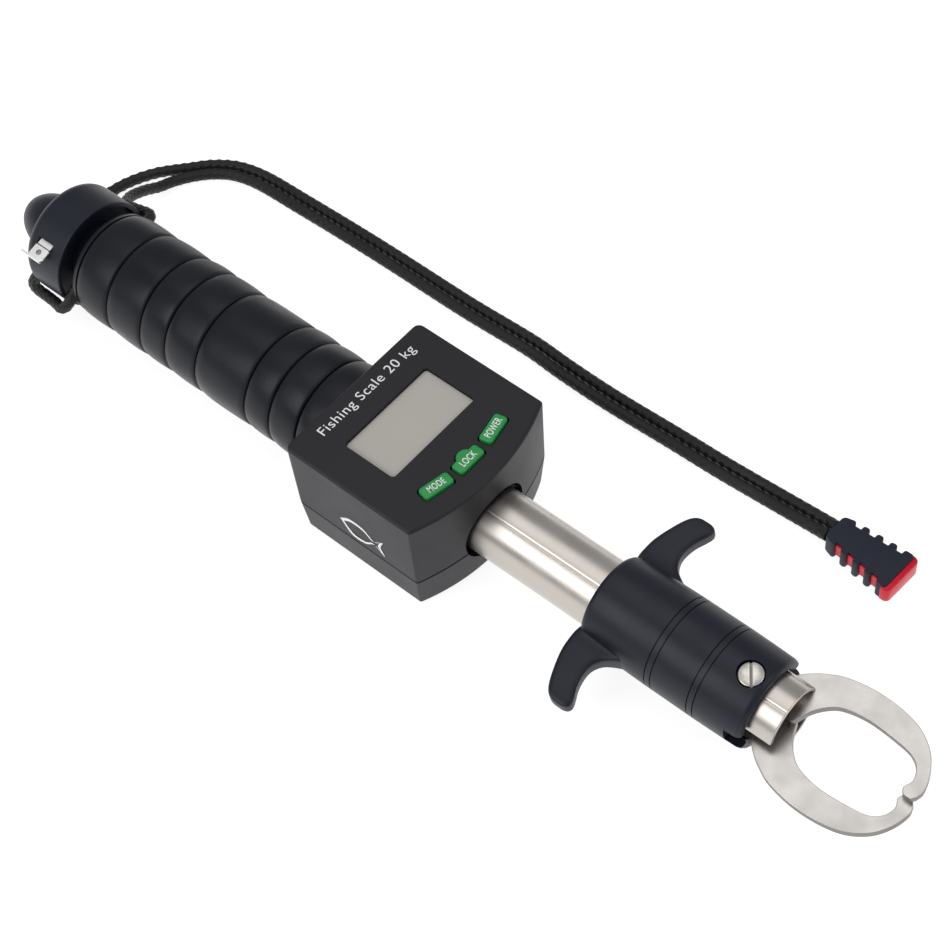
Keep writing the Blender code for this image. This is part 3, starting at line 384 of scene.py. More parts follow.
class Shape:
    """A mesh being drawn in millimetres."""

    def __init__(self) -> None:
        """Starts an empty mesh."""
        self.bm = bmesh.new()

    def lathe(self, profile: Iterable[Point2], segments: int = 128, closed: bool = True) -> "Shape":
        """Turns a profile about X.

        Args:
            profile: Points of (x, radius).
            segments: Steps round the axis.
            closed: Whether the profile's end joins its start.

        Returns:
            This shape.
        """
        verts = [self.bm.verts.new((x, 0, radius)) for x, radius in profile]
        edges = [self.bm.edges.new(pair) for pair in zip(verts, verts[1:])]
        if closed:
            edges.append(self.bm.edges.new((verts[-1], verts[0])))
        turn = {"cent": (0, 0, 0), "axis": (1, 0, 0), "angle": 2 * math.pi}
        bmesh.ops.spin(self.bm, geom=verts + edges, steps=segments, use_merge=True, **turn)
        return self

    def loft(self, rings: Sequence[Sequence[Sequence[float]]], loop: bool = False) -> "Shape":
        """Skins closed rings of equal point count, one after another.

        Args:
            rings: The rings' points.
            loop: Whether the last ring joins the first; otherwise both ends are capped.

        Returns:
            This shape.
        """
        made = [[self.bm.verts.new(p) for p in ring] for ring in rings]
        pairs = list(zip(made, made[1:])) + ([(made[-1], made[0])] if loop else [])
        for low, high in pairs:
            for i, _ in enumerate(low):
                j = (i + 1) % len(low)
                self.bm.faces.new((low[i], low[j], high[j], high[i]))
        if not loop:
            self.bm.faces.new(made[0][::-1])
            self.bm.faces.new(made[-1])
        return self

    def prism(self, outline: Sequence[Point2], low: float, high: float, edge: float = 0.0) -> "Shape":
        """Extrudes an outline upwards, with both rims rounded if edge is given.

        Args:
            outline: Points of (x, y).
            low: Height of the underside.
            high: Height of the top.
            edge: Radius of the rims.

        Returns:
            This shape.
        """
        face = self.bm.faces.new([self.bm.verts.new((x, y, low)) for x, y in outline])
        grown = bmesh.ops.extrude_face_region(self.bm, geom=[face])["geom"]
        raised = [item for item in grown if isinstance(item, bmesh.types.BMVert)]
        bmesh.ops.translate(self.bm, vec=(0, 0, high - low), verts=raised)
        if edge:
            self.bevel(lambda e: abs(e.verts[0].co.z - e.verts[1].co.z) < TOUCH, edge, 3)
        return self

    def block(self, low: Sequence[float], high: Sequence[float]) -> "Shape":
        """Adds a box between two corners.

        Args:
            low: Lowest corner.
            high: Highest corner.

        Returns:
            This shape.
        """
        outline = [(low[0], low[1]), (high[0], low[1]), (high[0], high[1]), (low[0], high[1])]
        return self.prism(outline, low[2], high[2])

    def rod(self, radius: float, start: Sequence[float], end: Sequence[float], segments: int = 48) -> "Shape":
        """Adds a round bar between two points.

        Args:
            radius: The bar's radius.
            start: Centre of one end.
            end: Centre of the other end.
            segments: Sides of the bar.

        Returns:
            This shape.
        """
        first, last = Vector(start), Vector(end)
        run = last - first
        turn = Vector((0, 0, 1)).rotation_difference(run.normalized()).to_matrix().to_4x4()
        size = {"radius1": radius, "radius2": radius, "depth": run.length}
        middle = Matrix.Translation((first + last) / 2) @ turn
        bmesh.ops.create_cone(self.bm, cap_ends=True, segments=segments, matrix=middle, **size)
        return self

    def bevel(self, chosen: Callable[[bmesh.types.BMEdge], bool], offset: float, segments: int) -> "Shape":
        """Rounds the edges that a test picks.

        Args:
            chosen: The test.
            offset: Width of the rounding.
            segments: Facets across it.

        Returns:
            This shape.
        """
        edges = [e for e in self.bm.edges if chosen(e)]
        rounding = {"offset": offset, "segments": segments, "profile": 0.5, "clamp_overlap": True}
        bmesh.ops.bevel(self.bm, geom=edges, affect="EDGES", material=-1, **rounding)
        return self

    def place(self, matrix: Matrix) -> "Shape":
        """Moves everything drawn so far.

        Args:
            matrix: The move, in millimetres.

        Returns:
            This shape.
        """
        bmesh.ops.transform(self.bm, matrix=matrix, verts=self.bm.verts)
        return self

    def to_object(self, name: str, sharp: float = SHARP_DEGREES) -> bpy.types.Object:
        """Ends the drawing and makes an object in metres.

        Args:
            name: The object's name.
            sharp: Faces that meet at more than this many degrees keep a hard edge.

        Returns:
            The new object.
        """
        bmesh.ops.remove_doubles(self.bm, verts=self.bm.verts, dist=0.0004)
        bmesh.ops.recalc_face_normals(self.bm, faces=self.bm.faces)
        bmesh.ops.scale(self.bm, vec=(MM, MM, MM), verts=self.bm.verts)
        mesh = bpy.data.meshes.new(name)
        self.bm.to_mesh(mesh)
        self.bm.free()
        mesh.shade_smooth()
        mesh.set_sharp_from_angle(angle=math.radians(sharp))
        return link(name, mesh)


def settle(obj: bpy.types.Object) -> None:
    """Applies an object's modifiers to its own mesh, then shades it so that flat faces look flat.

    Args:
        obj: The object.
    """
    for weighted in (False, True):
        if weighted:
            obj.modifiers.new("shading", "WEIGHTED_NORMAL").keep_sharp = True
        evaluated = obj.evaluated_get(bpy.context.evaluated_depsgraph_get())
        mesh = bpy.data.meshes.new_from_object(evaluated)
        obj.modifiers.clear()
        obj.data = mesh
        if not weighted:
            mesh.shade_smooth()
            mesh.set_sharp_from_angle(angle=math.radians(SHARP_DEGREES))


def carve(obj: bpy.types.Object, *tools: Shape, edge: float = 0.0) -> bpy.types.Object:
    """Cuts shapes out of an object, and can round the edges that the cuts leave.

    Args:
        obj: The object to cut.
        *tools: Shapes to take away.
        edge: Width of the rounding on every hard edge, in millimetres.

    Returns:
        The same object.
    """
    cutters = [tool.to_object(f"{obj.name}_cut_{index}") for index, tool in enumerate(tools)]
    for cutter in cutters:
        modifier = obj.modifiers.new(cutter.name, "BOOLEAN")
        modifier.operation = "DIFFERENCE"
        modifier.solver = "EXACT"
        modifier.object = cutter
    settle(obj)
    for cutter in cutters:
        bpy.data.objects.remove(cutter)
    if edge:
        modifier = obj.modifiers.new("rounding", "BEVEL")
        modifier.width = edge * MM
        modifier.segments = 2
        modifier.limit_method = "ANGLE"
        modifier.angle_limit = math.radians(50)
        settle(obj)
    return obj


def mount(obj: bpy.types.Object, body: Body, surface: Surface, *replaced: str) -> bpy.types.Object:
    """Dresses a piece, lets it ride on its body and stand for its CAD nodes.

    Args:
        obj: The piece.
        body: The body that it rides on.
        surface: Its finish.
        *replaced: The CAD nodes that it stands for.

    Returns:
        The same piece.
    """
    surface.on(obj)
    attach(obj, body.value)
    if replaced:
        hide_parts(*replaced)
    return obj


@dataclass(frozen=True)
class Lettering:
    """A printed word.

    Attributes:
        text: The word.
        height: From the lowest stroke to the highest.
        length: From the first letter to the last.
        weight: How much the strokes are thickened.
    """

    text: str
    height: float
    length: float
    weight: float = 0.0

    def build(self, name: str, place: Matrix) -> bpy.types.Object:
        """Makes the word as a thin mesh, centred on a place.

        Args:
            name: The object's name.
            place: Frame whose x runs along the word and whose y runs up it, in millimetres.

        Returns:
            The word.
        """
        curve = bpy.data.curves.new(name, "FONT")
        curve.body = self.text
        curve.size = self.height / CAPITAL_HEIGHT
        curve.extrude = 0.02
        curve.offset = self.weight
        curve.space_character = 1.08
        holder = link(f"{name}_curve", curve)
        bpy.context.view_layer.update()
        evaluated = holder.evaluated_get(bpy.context.evaluated_depsgraph_get())
        mesh = bpy.data.meshes.new_from_object(evaluated)
        bpy.data.objects.remove(holder)
        low = Vector([min(v.co[axis] for v in mesh.vertices) for axis in range(3)])
        high = Vector([max(v.co[axis] for v in mesh.vertices) for axis in range(3)])
        fit = Matrix.Diagonal((self.length / (high.x - low.x), self.height / (high.y - low.y), 1, 1))
        mesh.transform(Matrix.Scale(MM, 4) @ place @ fit @ Matrix.Translation(-(low + high) / 2))
        return link(name, mesh)


# ---------- handle


@dataclass(frozen=True)
class Grip:
    """The foam sleeve: soft rings parted by narrow creases."""

    rear: float = -114.3
    front: float = -22.9
    radius: float = 15.0
    bore: float = 9.3
    creases: tuple[float, ...] = (-111.9, -100.3, -87.6, -78.4, -67.2, -49.4, -40.8, -31.6)
    swell: float = 0.32
    crease_depth: float = 1.0
    crease_width: float = 0.46
    skin: float = 0.6
    lump: float = 0.22

    def profile(self) -> list[Point2]:
        """Draws the sleeve's section.

        Returns:
            Points of (x, radius), closed.
        """
        r, w = self.radius, self.crease_width
        points = [(self.rear, self.bore), (self.rear, r - 1.6)]
        points += [(self.rear + 0.25, r - 1.0), (self.rear + 0.9, r - 0.4)]
        stops = [*self.creases, self.front]
        for crease, following in zip(stops, stops[1:]):
            points += [(crease - w / 2, r - 0.2), (crease - 0.05, r - self.crease_depth)]
            points += [(crease + 0.05, r - self.crease_depth), (crease + w / 2, r - 0.32)]
            points.append((crease + w, r - 0.18))
            span = following - crease
            for share in (0.12, 0.25, 0.4, 0.55, 0.7, 0.82, 0.92):
                bulge = math.sin(math.pi * share) ** 0.7 * self.swell
                points.append((crease + w + (span - 2 * w) * share, r - 0.1 * (1 - share) + bulge))
            points.append((following - w, r))
        return points[:-1] + [(self.front, r - 0.5), (self.front, self.bore)]

    def build(self) -> None:
        """Builds the sleeve, with the uneven lumps that foam has over its core."""
        shape = Shape().lathe(self.profile(), 144)
        for vert in shape.bm.verts:
            radius = math.hypot(vert.co.y, vert.co.z)
            if radius > self.radius - self.skin:
                place = Vector((vert.co.x * 0.11, vert.co.y * 0.1, vert.co.z * 0.1))
                grow = 1 + noise.noise(place) * self.lump / radius
                vert.co.y *= grow
                vert.co.z *= grow
        mount(shape.place(TOOL).to_object("grip", 50), Body.HANDLE, Surface.FOAM, "grip_sleeve")


@dataclass(frozen=True)
class TapeFrame:
    """Where the tape leaves its drum, and which way it runs."""

    case_radius: float = 15.65
    distance: float = 12.95
    centre_x: float = -124.4
    exit_angle: float = math.radians(40.0)

    def matrix(self) -> Matrix:
        """Finds the frame of the tape's straight run.

        Returns:
            A frame with x out along the tape, y away from the drum and z across the tape.
        """
        tangent = self.exit_angle + math.acos(self.distance / self.case_radius)
        outward = Vector((0, -math.cos(tangent), math.sin(tangent)))
        run = Vector((0, -math.sin(tangent), -math.cos(tangent)))
        foot = outward * self.distance + Vector((self.centre_x, 0, 0))
        turn = Matrix((run, outward, run.cross(outward))).transposed().to_4x4()
        return TOOL @ Matrix.Translation(foot) @ turn

    def exit_run(self) -> float:
        """Finds how far along the straight run the drum's surface is.

        Returns:
            The distance, in millimetres.
        """
        return math.sqrt(self.case_radius**2 - self.distance**2)


@dataclass(frozen=True)
class Tail:
    """The neck, the tape drum and its domed knob."""

    lip: float = -117.9
    radius: float = 15.65
    bore: float = 14.25
    shoulder: float = -128.4
    end: float = -132.0
    axle_hole: float = 3.2
    knob_tip: float = -146.0
    knob_radius: float = 8.7
    hole_x: float = -116.1
    web: float = -130.2
    corner: float = 3.6

    def build(self, tape: TapeFrame) -> None:
        """Builds the neck, drum and knob.

        Args:
            tape: Where the tape leaves the drum.
        """
        collar = [(-119.6, 2.9), (-119.6, 9.0), (-114.45, 9.0), (-114.45, 7.4)]
        neck = Shape().lathe([*collar, (-100, 7.2), (-100, 2.9)]).place(TOOL).to_object("neck")
        hole = Shape().rod(1.75, (self.hole_x, -12, 0), (self.hole_x, 12, 0)).place(TOOL)
        mount(carve(neck, hole, edge=0.2), Body.HANDLE, Surface.CASE, "tail_plug")
        r, lip = self.radius, self.lip
        profile = [(self.web, self.bore), (lip - 0.25, self.bore), (lip, self.bore + 0.25)]
        profile += [(lip, r - 0.35), (lip - 0.1, r - 0.1), (lip - 0.35, r)]
        profile += arc((self.shoulder, r - self.corner), self.corner, 90, 180, 12)
        profile += [(self.end, self.axle_hole), (self.web, self.axle_hole)]
        drum = Shape().lathe(profile, 160).place(TOOL).to_object("drum")
        slot = Shape().block((3.5, -0.5, -2.8), (10.5, 0.7, 2.8)).place(tape.matrix())
        mount(carve(drum, slot), Body.HANDLE, Surface.CASE, "tape_case")
        self.build_knob()

    def build_knob(self) -> None:
        """Builds the domed knob, with its flange against the drum."""
        base = self.end - 0.3
        length = base - self.knob_tip
        profile = [(-139.0, 0), (-139.0, 3.2), (base, 3.2), (base, 9.2)]
        profile += [(base - 0.5, 9.25), (base - 0.9, 8.9)]
        for angle in map(math.radians, range(8, 90, 4)):
            profile.append((base - length * math.sin(angle), self.knob_radius * math.cos(angle) ** 0.92))
        knob = Shape().lathe([*profile, (self.knob_tip, 0)], closed=False)
        mount(knob.place(TOOL).to_object("knob", 50), Body.HANDLE, Surface.CASE, "end_cap")


@dataclass(frozen=True)
class Tape:
    """The tape's straight run, its end hook and the rivet."""

    width: float = 5.0
    gap: float = 0.7
    plate: float = 3.9
    half_thickness: float = 0.25
    lip_reach: float = 2.6
    rivet_at: float = 1.75

    def build(self, frame: TapeFrame) -> None:
        """Builds the blade, hook and rivet.

        Args:
            frame: Where the tape leaves the drum.
        """
        matrix = frame.matrix()
        start = frame.exit_run() + self.gap
        half, thick = self.width / 2, self.half_thickness
        blade = Shape().block((0, -0.1, -half + 0.2), (start - 0.3, 0.1, half - 0.2)).place(matrix)
        mount(blade.to_object("blade"), Body.HOOK, Surface.TAPE, "tape_blade")
        end = start + self.plate
        corners = [(start, -half, 0.3), (end - 0.9, -half, 0.4), (end, -half + 0.9, 0.3)]
        outline = filleted([*corners, (end, half, 0.2), (start, half, 0.3)], 4)
        hook = Shape().prism(outline, -thick, thick, 0.08).place(Matrix.Rotation(QUARTER, 4, "X"))
        plate = set(hook.bm.edges)
        hook.block((end - 0.45, -1.7, -half + 1.2), (end + 0.05, thick - 0.06, half + self.lip_reach))
        hook.bevel(lambda e: e not in plate, 0.1, 2)
        mount(hook.place(matrix).to_object("hook"), Body.HOOK, Surface.PLATED, "tape_hook")
        head = [(-0.45, 0), (-0.45, 0.8), (0.3, 0.8), (0.45, 0.7), (0.55, 0.45), (0.58, 0)]
        rivet = Shape().lathe(head, 32, closed=False)
        middle = Matrix.Translation((start + self.rivet_at, 0, 0))
        rivet.place(matrix @ middle @ Matrix.Rotation(QUARTER, 4, "Z"))
        mount(rivet.to_object("rivet"), Body.HOOK, Surface.STEEL, "hook_rivet")


# ---------- housing


@dataclass(frozen=True)
class Key:
    """One push button: its place on the lid, its turn and its printed word."""

    body: Body
    x: float
    y: float
    turn: float
    word: str
    bump: bool = False
    length: float = 8.6
    width: float = 3.7
    foot: float = 15.4
    rim: float = 0.45
    flange: Point2 = (4.9, 2.4)
    print_height: float = 1.9

    def frame(self) -> Matrix:
        """Finds the button's own frame.

        Returns:
            A frame with x along the button and y towards the display.
        """
        turn = Matrix.Rotation(math.radians(self.turn) + QUARTER, 4, "Z")
        return TOOL @ Matrix.Translation((self.x, self.y, 0)) @ turn

    def outline(self, grow: float = 0.0) -> list[Point2]:
        """Draws the button's plan.

        Args:
            grow: Clearance added all round.

        Returns:
            The outline's points.
        """
        x, y = self.length / 2 + grow, self.width / 2 + grow
        if not self.bump:
            return rounded((-x, -y), (x, y), 0.9)
        radius = 2.5 + grow
        reach = math.degrees(math.asin((y - 0.7) / radius))
        dome = arc((0, 0.7), radius, reach, 180 - reach, 14)
        corners = [(x, y, 0.8), *((*point, 0.0) for point in dome), (-x, y, 0.8)]
        return filleted([*corners, (-x, -y, 0.9), (x, -y, 0.9)])

    def build(self, top: float) -> None:
        """Builds the button and its word.

        Args:
            top: Height of the button's top face above the tool's axis.
        """
        cap = Shape().prism(self.outline(), self.foot, top)
        cap.bevel(lambda e: all(abs(v.co.z - top) < TOUCH for v in e.verts), self.rim, 4)
        x, y = self.flange
        cap.prism(rounded((-x, -y), (x, y), 0.9), self.foot - 0.1, self.foot + 0.8)
        button = cap.place(self.frame()).to_object(self.body.value + "_cap")
        mount(button, self.body, Surface.BUTTON, self.body.value)
        place = self.frame() @ Matrix.Translation((0, 0, top + 0.005))
        lettering = Lettering(self.word, self.print_height, 1.28 * len(self.word) - 0.3, 0.02)
        mount(lettering.build(self.body.value + "_word", place), self.body, Surface.INK)


@dataclass(frozen=True)
class Housing:
    """The weighing box: two shells, window, keys and printing."""

    rear: float = -22.6
    corner: float = 18.0
    nose: float = 23.1
    half_width: float = 24.5
    top: float = 19.2
    split: float = -3.1
    base: float = -AXIS_HEIGHT
    wall: float = 2.0
    window: Point3 = (-11.5, 4.6, 14.9)
    tube_hole: float = 10.6
    key_top: float = 20.0
    battery_x: float = -3.0
    battery_radius: float = 12.0
    lug_reach: float = 13.6
    screw_hole: float = 2.4
    rim: float = 0.9
    foot: float = 2.4
    posts: tuple[Point2, ...] = ((-17.4, -19.3), (-17.4, 19.3), (11.5, -19.3), (11.5, 19.3))
    fish: tuple[Point2, ...] = (
        (-6.5, 3.4), (-3.2, 5.6), (1.2, 5.4), (4.6, 2.9), (7.6, 5.2), (6.6, 2.2),
        (7.6, -0.8), (4.6, 1.5), (1.2, -0.9), (-3.2, -1.0), (-6.5, 3.4),
    )
    keys: tuple[Key, ...] = (
        Key(Body.UNIT, 14.35, -10.45, -11.5, "MODE"),
        Key(Body.HOLD, 15.3, 0.0, 0.0, "LOCK", bump=True),
        Key(Body.POWER, 14.1, 10.6, 11.0, "POWER"),
    )

    def outline(self, inset: float) -> list[Point2]:
        """Draws the box's plan, with its bowed front.

        Args:
            inset: Distance inside the widest outline.

        Returns:
            The outline's points, always the same number.
        """
        half, rear, corner = self.half_width - inset, self.rear + inset, self.corner - inset
        rise = self.nose - self.corner
        radius = (half**2 + rise**2) / (2 * rise)
        spread = math.degrees(math.asin(half / radius))
        front = arc((corner + rise - radius, 0), radius, -spread, spread, 41)
        back = max(2.0 - inset, 0.4)
        soft = max(0.9 - inset * 0.3, 0.3)
        edges = [(*front[0], soft), *((*p, 0.0) for p in front[1:-1]), (*front[-1], soft)]
        return filleted([*edges, (rear, half, back), (rear, -half, back)], 7)

    def shell(self, levels: Sequence[Point2]) -> Shape:
        """Skins the plan at a row of insets and heights.

        Args:
            levels: Pairs of (inset, height), from the inside round to the outside.

        Returns:
            The closed shell.
        """
        rings = [[(x, y, z) for x, y in self.outline(inset)] for inset, z in levels]
        return Shape().loft(rings).place(TOOL)

    def build(self) -> None:
        """Builds the shells, window, keys and printing."""
        self.build_lid()
        self.build_base()
        self.build_window()
        for key in self.keys:
            key.build(self.key_top)
        self.build_printing()

    def pane(self, inset: float, radius: float) -> list[Point2]:
        """Draws the window's outline.

        Args:
            inset: Distance inside the opening.
            radius: Radius of its corners.

        Returns:
            The outline's points.
        """
        low, high, half = self.window
        return rounded((low + inset, -half + inset), (high - inset, half - inset), radius)

    def tube_holes(self) -> list[Shape]:
        """Draws the cutters for the tube's hole and the handle's hole.

        Returns:
            The cutters.
        """
        front = Shape().rod(self.tube_hole, (11, 0, 0), (30, 0, 0), 96).place(TOOL)
        back = Shape().rod(9.3, (self.rear - 3, 0, 0), (self.rear + 4, 0, 0), 64).place(TOOL)
        return [front, back]

    def build_lid(self) -> None:
        """Builds the upper shell."""
        levels = [(self.wall, self.top - self.wall), (self.wall, self.split), (0.55, self.split)]
        levels += [(0.3, self.split + 0.25), *arc((self.rim, self.top - self.rim), self.rim, 180, 90, 7)]
        lid = self.shell(levels).to_object("lid", 40)
        cutters = []
        for inset, depth in ((0.0, 1.3), (1.0, 4.0)):
            seat = Shape().prism(self.pane(inset, 1.0), self.top - depth, self.top + 2)
            cutters.append(seat.place(TOOL))
        for key in self.keys:
            cutters.append(Shape().prism(key.outline(0.35), self.top - 5, self.top + 2).place(key.frame()))
        carve(lid, *self.tube_holes(), *cutters)
        mount(lid, Body.HANDLE, Surface.HOUSING, "upper_housing")

    def build_base(self) -> None:
        """Builds the lower shell, drawn in a little towards its underside."""
        edge = self.split - 0.3
        levels = [(3.4, self.base + self.wall), (2.3, edge), (0.55, edge), (0.35, edge - 0.25)]
        levels += arc((1.3 + self.foot, self.base + self.foot), self.foot, 180, 270, 7)
        base = self.shell(levels).to_object("base", 40)
        x, bottom, reach = self.battery_x, self.base, self.lug_reach
        cutters = [
            Shape().rod(self.battery_radius, (x, 0, bottom - 2), (x, 0, bottom + 4), 96).place(TOOL),
            Shape().block((x - 2.5, -reach, bottom - 2), (x + 2.5, reach, bottom + 4)).place(TOOL),
        ]
        for px, py in self.posts:
            hole = Shape().rod(self.screw_hole, (px, py, bottom - 2), (px, py, bottom + 3), 32)
            cutters.append(hole.place(TOOL))
        carve(base, *self.tube_holes(), *cutters)
        mount(base, Body.HANDLE, Surface.HOUSING, "lower_housing")

    def build_window(self) -> None:
        """Builds the display's face, a little below the lid."""
        face = Shape().prism(self.pane(0.12, 0.9), self.top - 1.25, self.top - 1.05)
        face = face.place(TOOL).to_object("display_face")
        mount(face, Body.HANDLE, Surface.DISPLAY, "display_window")

    def build_printing(self) -> None:
        """Prints the lid's title and a plain fish sign on the side."""
        turn = Matrix.Rotation(QUARTER, 4, "Z")
        place = TOOL @ Matrix.Translation((-17.8, 0.7, self.top + 0.005)) @ turn
        title = Lettering("Fishing Scale 20 kg", 3.6, 33.4, -0.01).build("title", place)
        mount(title, Body.HANDLE, Surface.INK)
        side = TOOL @ Matrix.Translation((0, -self.half_width + 0.19, 0)) @ Matrix.Rotation(QUARTER, 4, "X")
        body = smooth(self.fish, 6)[:-1]
        inner = [Vector((p.x * 0.86 + 0.1, (p.y - 2.2) * 0.74 + 2.2)) for p in body]
        edges = ((body, 0.0), (body, 0.05), (inner, 0.05), (inner, 0.0))
        sign = Shape().loft([[(*p, z) for p in edge] for edge, z in edges], loop=True).place(side)
        mount(sign.to_object("fish_sign"), Body.HANDLE, Surface.INK)


# ---------- head


@dataclass(frozen=True)
class Tube:
    """The ground steel tube with its seam and slots."""

    radius: float = 9.05
    bore: float = 8.05
    rear: float = 9.5
    front: float = 111.3
    seam: float = math.radians(13.0)
    sides: int = 160
    pivot: float = 100.1
    travel: float = 9.0
    screw_half: float = 2.3
    jaw_half: float = 2.75

    def ring(self, x: float, radius: float, groove: float) -> list[Point3]:
        """Draws one ring of the tube.

        Args:
            x: Where along the tube.
            radius: The ring's radius.
            groove: Depth of the seam at this ring.

        Returns:
            The ring's points; the first lies on the seam.
        """
        points = []
        for i in range(self.sides):
            angle = self.seam + 2 * math.pi * i / self.sides
            reach = radius - (groove if i == 0 else 0.0)
            points.append((x, -reach * math.sin(angle), reach * math.cos(angle)))
        return points

    def build(self) -> None:
        """Builds the tube."""
        r, b = self.radius, self.bore
        rear, front = self.rear, self.front
        section = [(rear, r - 0.15, 0.2), (rear + 0.2, r, 0.2), (front - 0.25, r, 0.2)]
        section += [(front - 0.08, r - 0.07, 0.1), (front, r - 0.25, 0.0), (front, b + 0.15, 0.0)]
        section += [(front - 0.15, b, 0.0), (rear, b, 0.0)]
        rings = [self.ring(*level) for level in section]
        tube = Shape().loft(rings, loop=True).place(HEAD).to_object("tube", 40)
        slot_rear = self.pivot - self.travel
        half, jaw = self.screw_half, self.jaw_half
        screw = [*arc((self.pivot, 0), half, -90, 90, 13), *arc((slot_rear, 0), half, 90, 270, 13)]
        cutters = [
            Shape().prism(screw, -15, 15).place(HEAD),
            Shape().block((slot_rear - 1.6, -15, -jaw), (self.front + 5, 15, jaw)).place(HEAD),
            Shape().rod(0.6, (62, -15, 0), (62, 15, 0), 24).place(HEAD),
        ]
        mount(carve(tube, *cutters), Body.HEAD, Surface.TUBE, "main_tube")


@dataclass(frozen=True)
class Trigger:
    """The sliding collar with two finger wings, and the pivot screw in its top."""

    rear: float = 58.1
    front: float = 104.9
    bore: float = 9.5
    pivot: float = 100.1
    slot_turn: float = math.radians(-53.0)
    screw_head: float = 3.45
    screw_shank: float = 2.3
    seat: float = 10.45
    notch_half: float = 2.95
    stations: tuple[tuple[float, float, float, float], ...] = (
        (7.5, 58.4, 79.0, 3.9),
        (9.5, 58.0, 76.8, 3.7),
        (11.2, 57.5, 73.4, 3.2),
        (12.8, 57.2, 70.0, 2.7),
        (14.6, 57.2, 67.4, 2.4),
        (17.0, 57.4, 66.0, 2.3),
        (19.5, 58.0, 65.8, 2.3),
        (22.5, 59.0, 66.4, 2.3),
        (25.0, 60.0, 67.5, 2.3),
        (26.9, 61.0, 68.2, 2.2),
        (28.1, 62.1, 67.9, 2.0),
        (28.7, 63.3, 66.9, 1.6),
        (28.9, 64.4, 65.8, 0.8),
    )

    def profile(self) -> list[Point2]:
        """Draws the collar's section.

        Returns:
            Points of (x, radius), closed.
        """
        rear = self.rear
        points = [(rear, self.bore), (rear, 10.7), (rear + 0.15, 11.2), (rear + 0.6, 11.65)]
        points += [(rear + 1.4, 11.9), (64.0, 12.1), (70.0, 12.3), (77.4, 12.4)]
        for groove in (77.8, 79.5, 90.0, 91.7):
            points += [(groove - 0.16, 12.4), (groove - 0.05, 12.1)]
            points += [(groove + 0.05, 12.1), (groove + 0.16, 12.4)]
        points += [(98.0, 12.3), (103.4, 12.15), (104.2, 11.95), (104.7, 11.6), (104.9, 11.1)]
        return [*points, (self.front, 10.2), (self.front - 0.6, self.bore)]

    def wing(self, side: int) -> Shape:
        """Skins one finger wing from its stations.

        Args:
            side: 1 for the right wing, -1 for the left.

        Returns:
            The wing.
        """
        rings = []
        for y, rear, front, half in smooth(self.stations, 3):
            middle, reach = (rear + front) / 2, (front - rear) / 2
            ring = []
            for step in range(40):
                angle = 2 * math.pi * step / 40
                c, s = math.cos(angle), math.sin(angle)
                x_power = min(0.45, 0.6 * half / reach)
                x = middle + math.copysign(abs(c) ** x_power, c) * reach
                z = math.copysign(abs(s) ** 0.36, s) * half
                ring.append((x, y * side, z))
            rings.append(ring)
        return Shape().loft(rings)

    def build(self) -> None:
        """Builds the collar, its wings and the pivot screw."""
        collar = Shape().lathe(self.profile(), 144).place(HEAD).to_object("collar", 30)
        notch = self.pivot + 0.4
        head, shank, half = self.screw_head, self.screw_shank, self.notch_half
        bores = ((head, self.seat, 20, 64), (shank, -9, 11, 48), (head, -self.seat, -20, 64), (shank, -11, 0, 48))
        cutters = []
        for radius, low, high, sides in bores:
            bore = Shape().rod(radius, (self.pivot, 0, low), (self.pivot, 0, high), sides)
            cutters.append(bore.place(HEAD))
        cutters.append(Shape().block((notch, -20, -half), (self.front + 5, 20, half)).place(HEAD))
        mount(carve(collar, *cutters), Body.TRIGGER, Surface.CASE, "trigger_collar")
        for side, label in ((1, "right"), (-1, "left")):
            wing = self.wing(side).place(HEAD).to_object(f"wing_{label}", 60)
            bore = Shape().rod(11.0, (50, 0, 0), (90, 0, 0), 96).place(HEAD)
            mount(carve(wing, bore), Body.TRIGGER, Surface.CASE)
        self.build_screw()

    def build_screw(self) -> None:
        """Builds the slotted pivot screw, with a thin dark strip of painted shadow on the slot's floor."""
        profile = [(-11.8, 0), (-11.8, 2.0), (10.75, 2.0), (10.75, 3.1)]
        profile += [(11.6, 3.1), (11.75, 3.02), (11.85, 2.85), (11.88, 0)]
        upright = Matrix.Rotation(-QUARTER, 4, "Y")
        here = HEAD @ Matrix.Translation((self.pivot, 0, 0))
        across = here @ Matrix.Rotation(self.slot_turn, 4, "Z")
        screw = Shape().lathe(profile, 64, closed=False).place(here @ upright).to_object("screw")
        slot = Shape().block((-5, -0.36, 10.9), (5, 0.36, 13)).place(across)
        mount(carve(screw, slot), Body.TRIGGER, Surface.NICKEL, "pivot_screw")
        # A thin dark strip on the slot's floor: painted shadow in the slot.
        floor = Shape().block((-2.95, -0.35, 10.88), (2.95, 0.35, 11.1)).place(across)
        mount(floor.to_object("screw_slot_floor"), Body.TRIGGER, Surface.SHEARED)


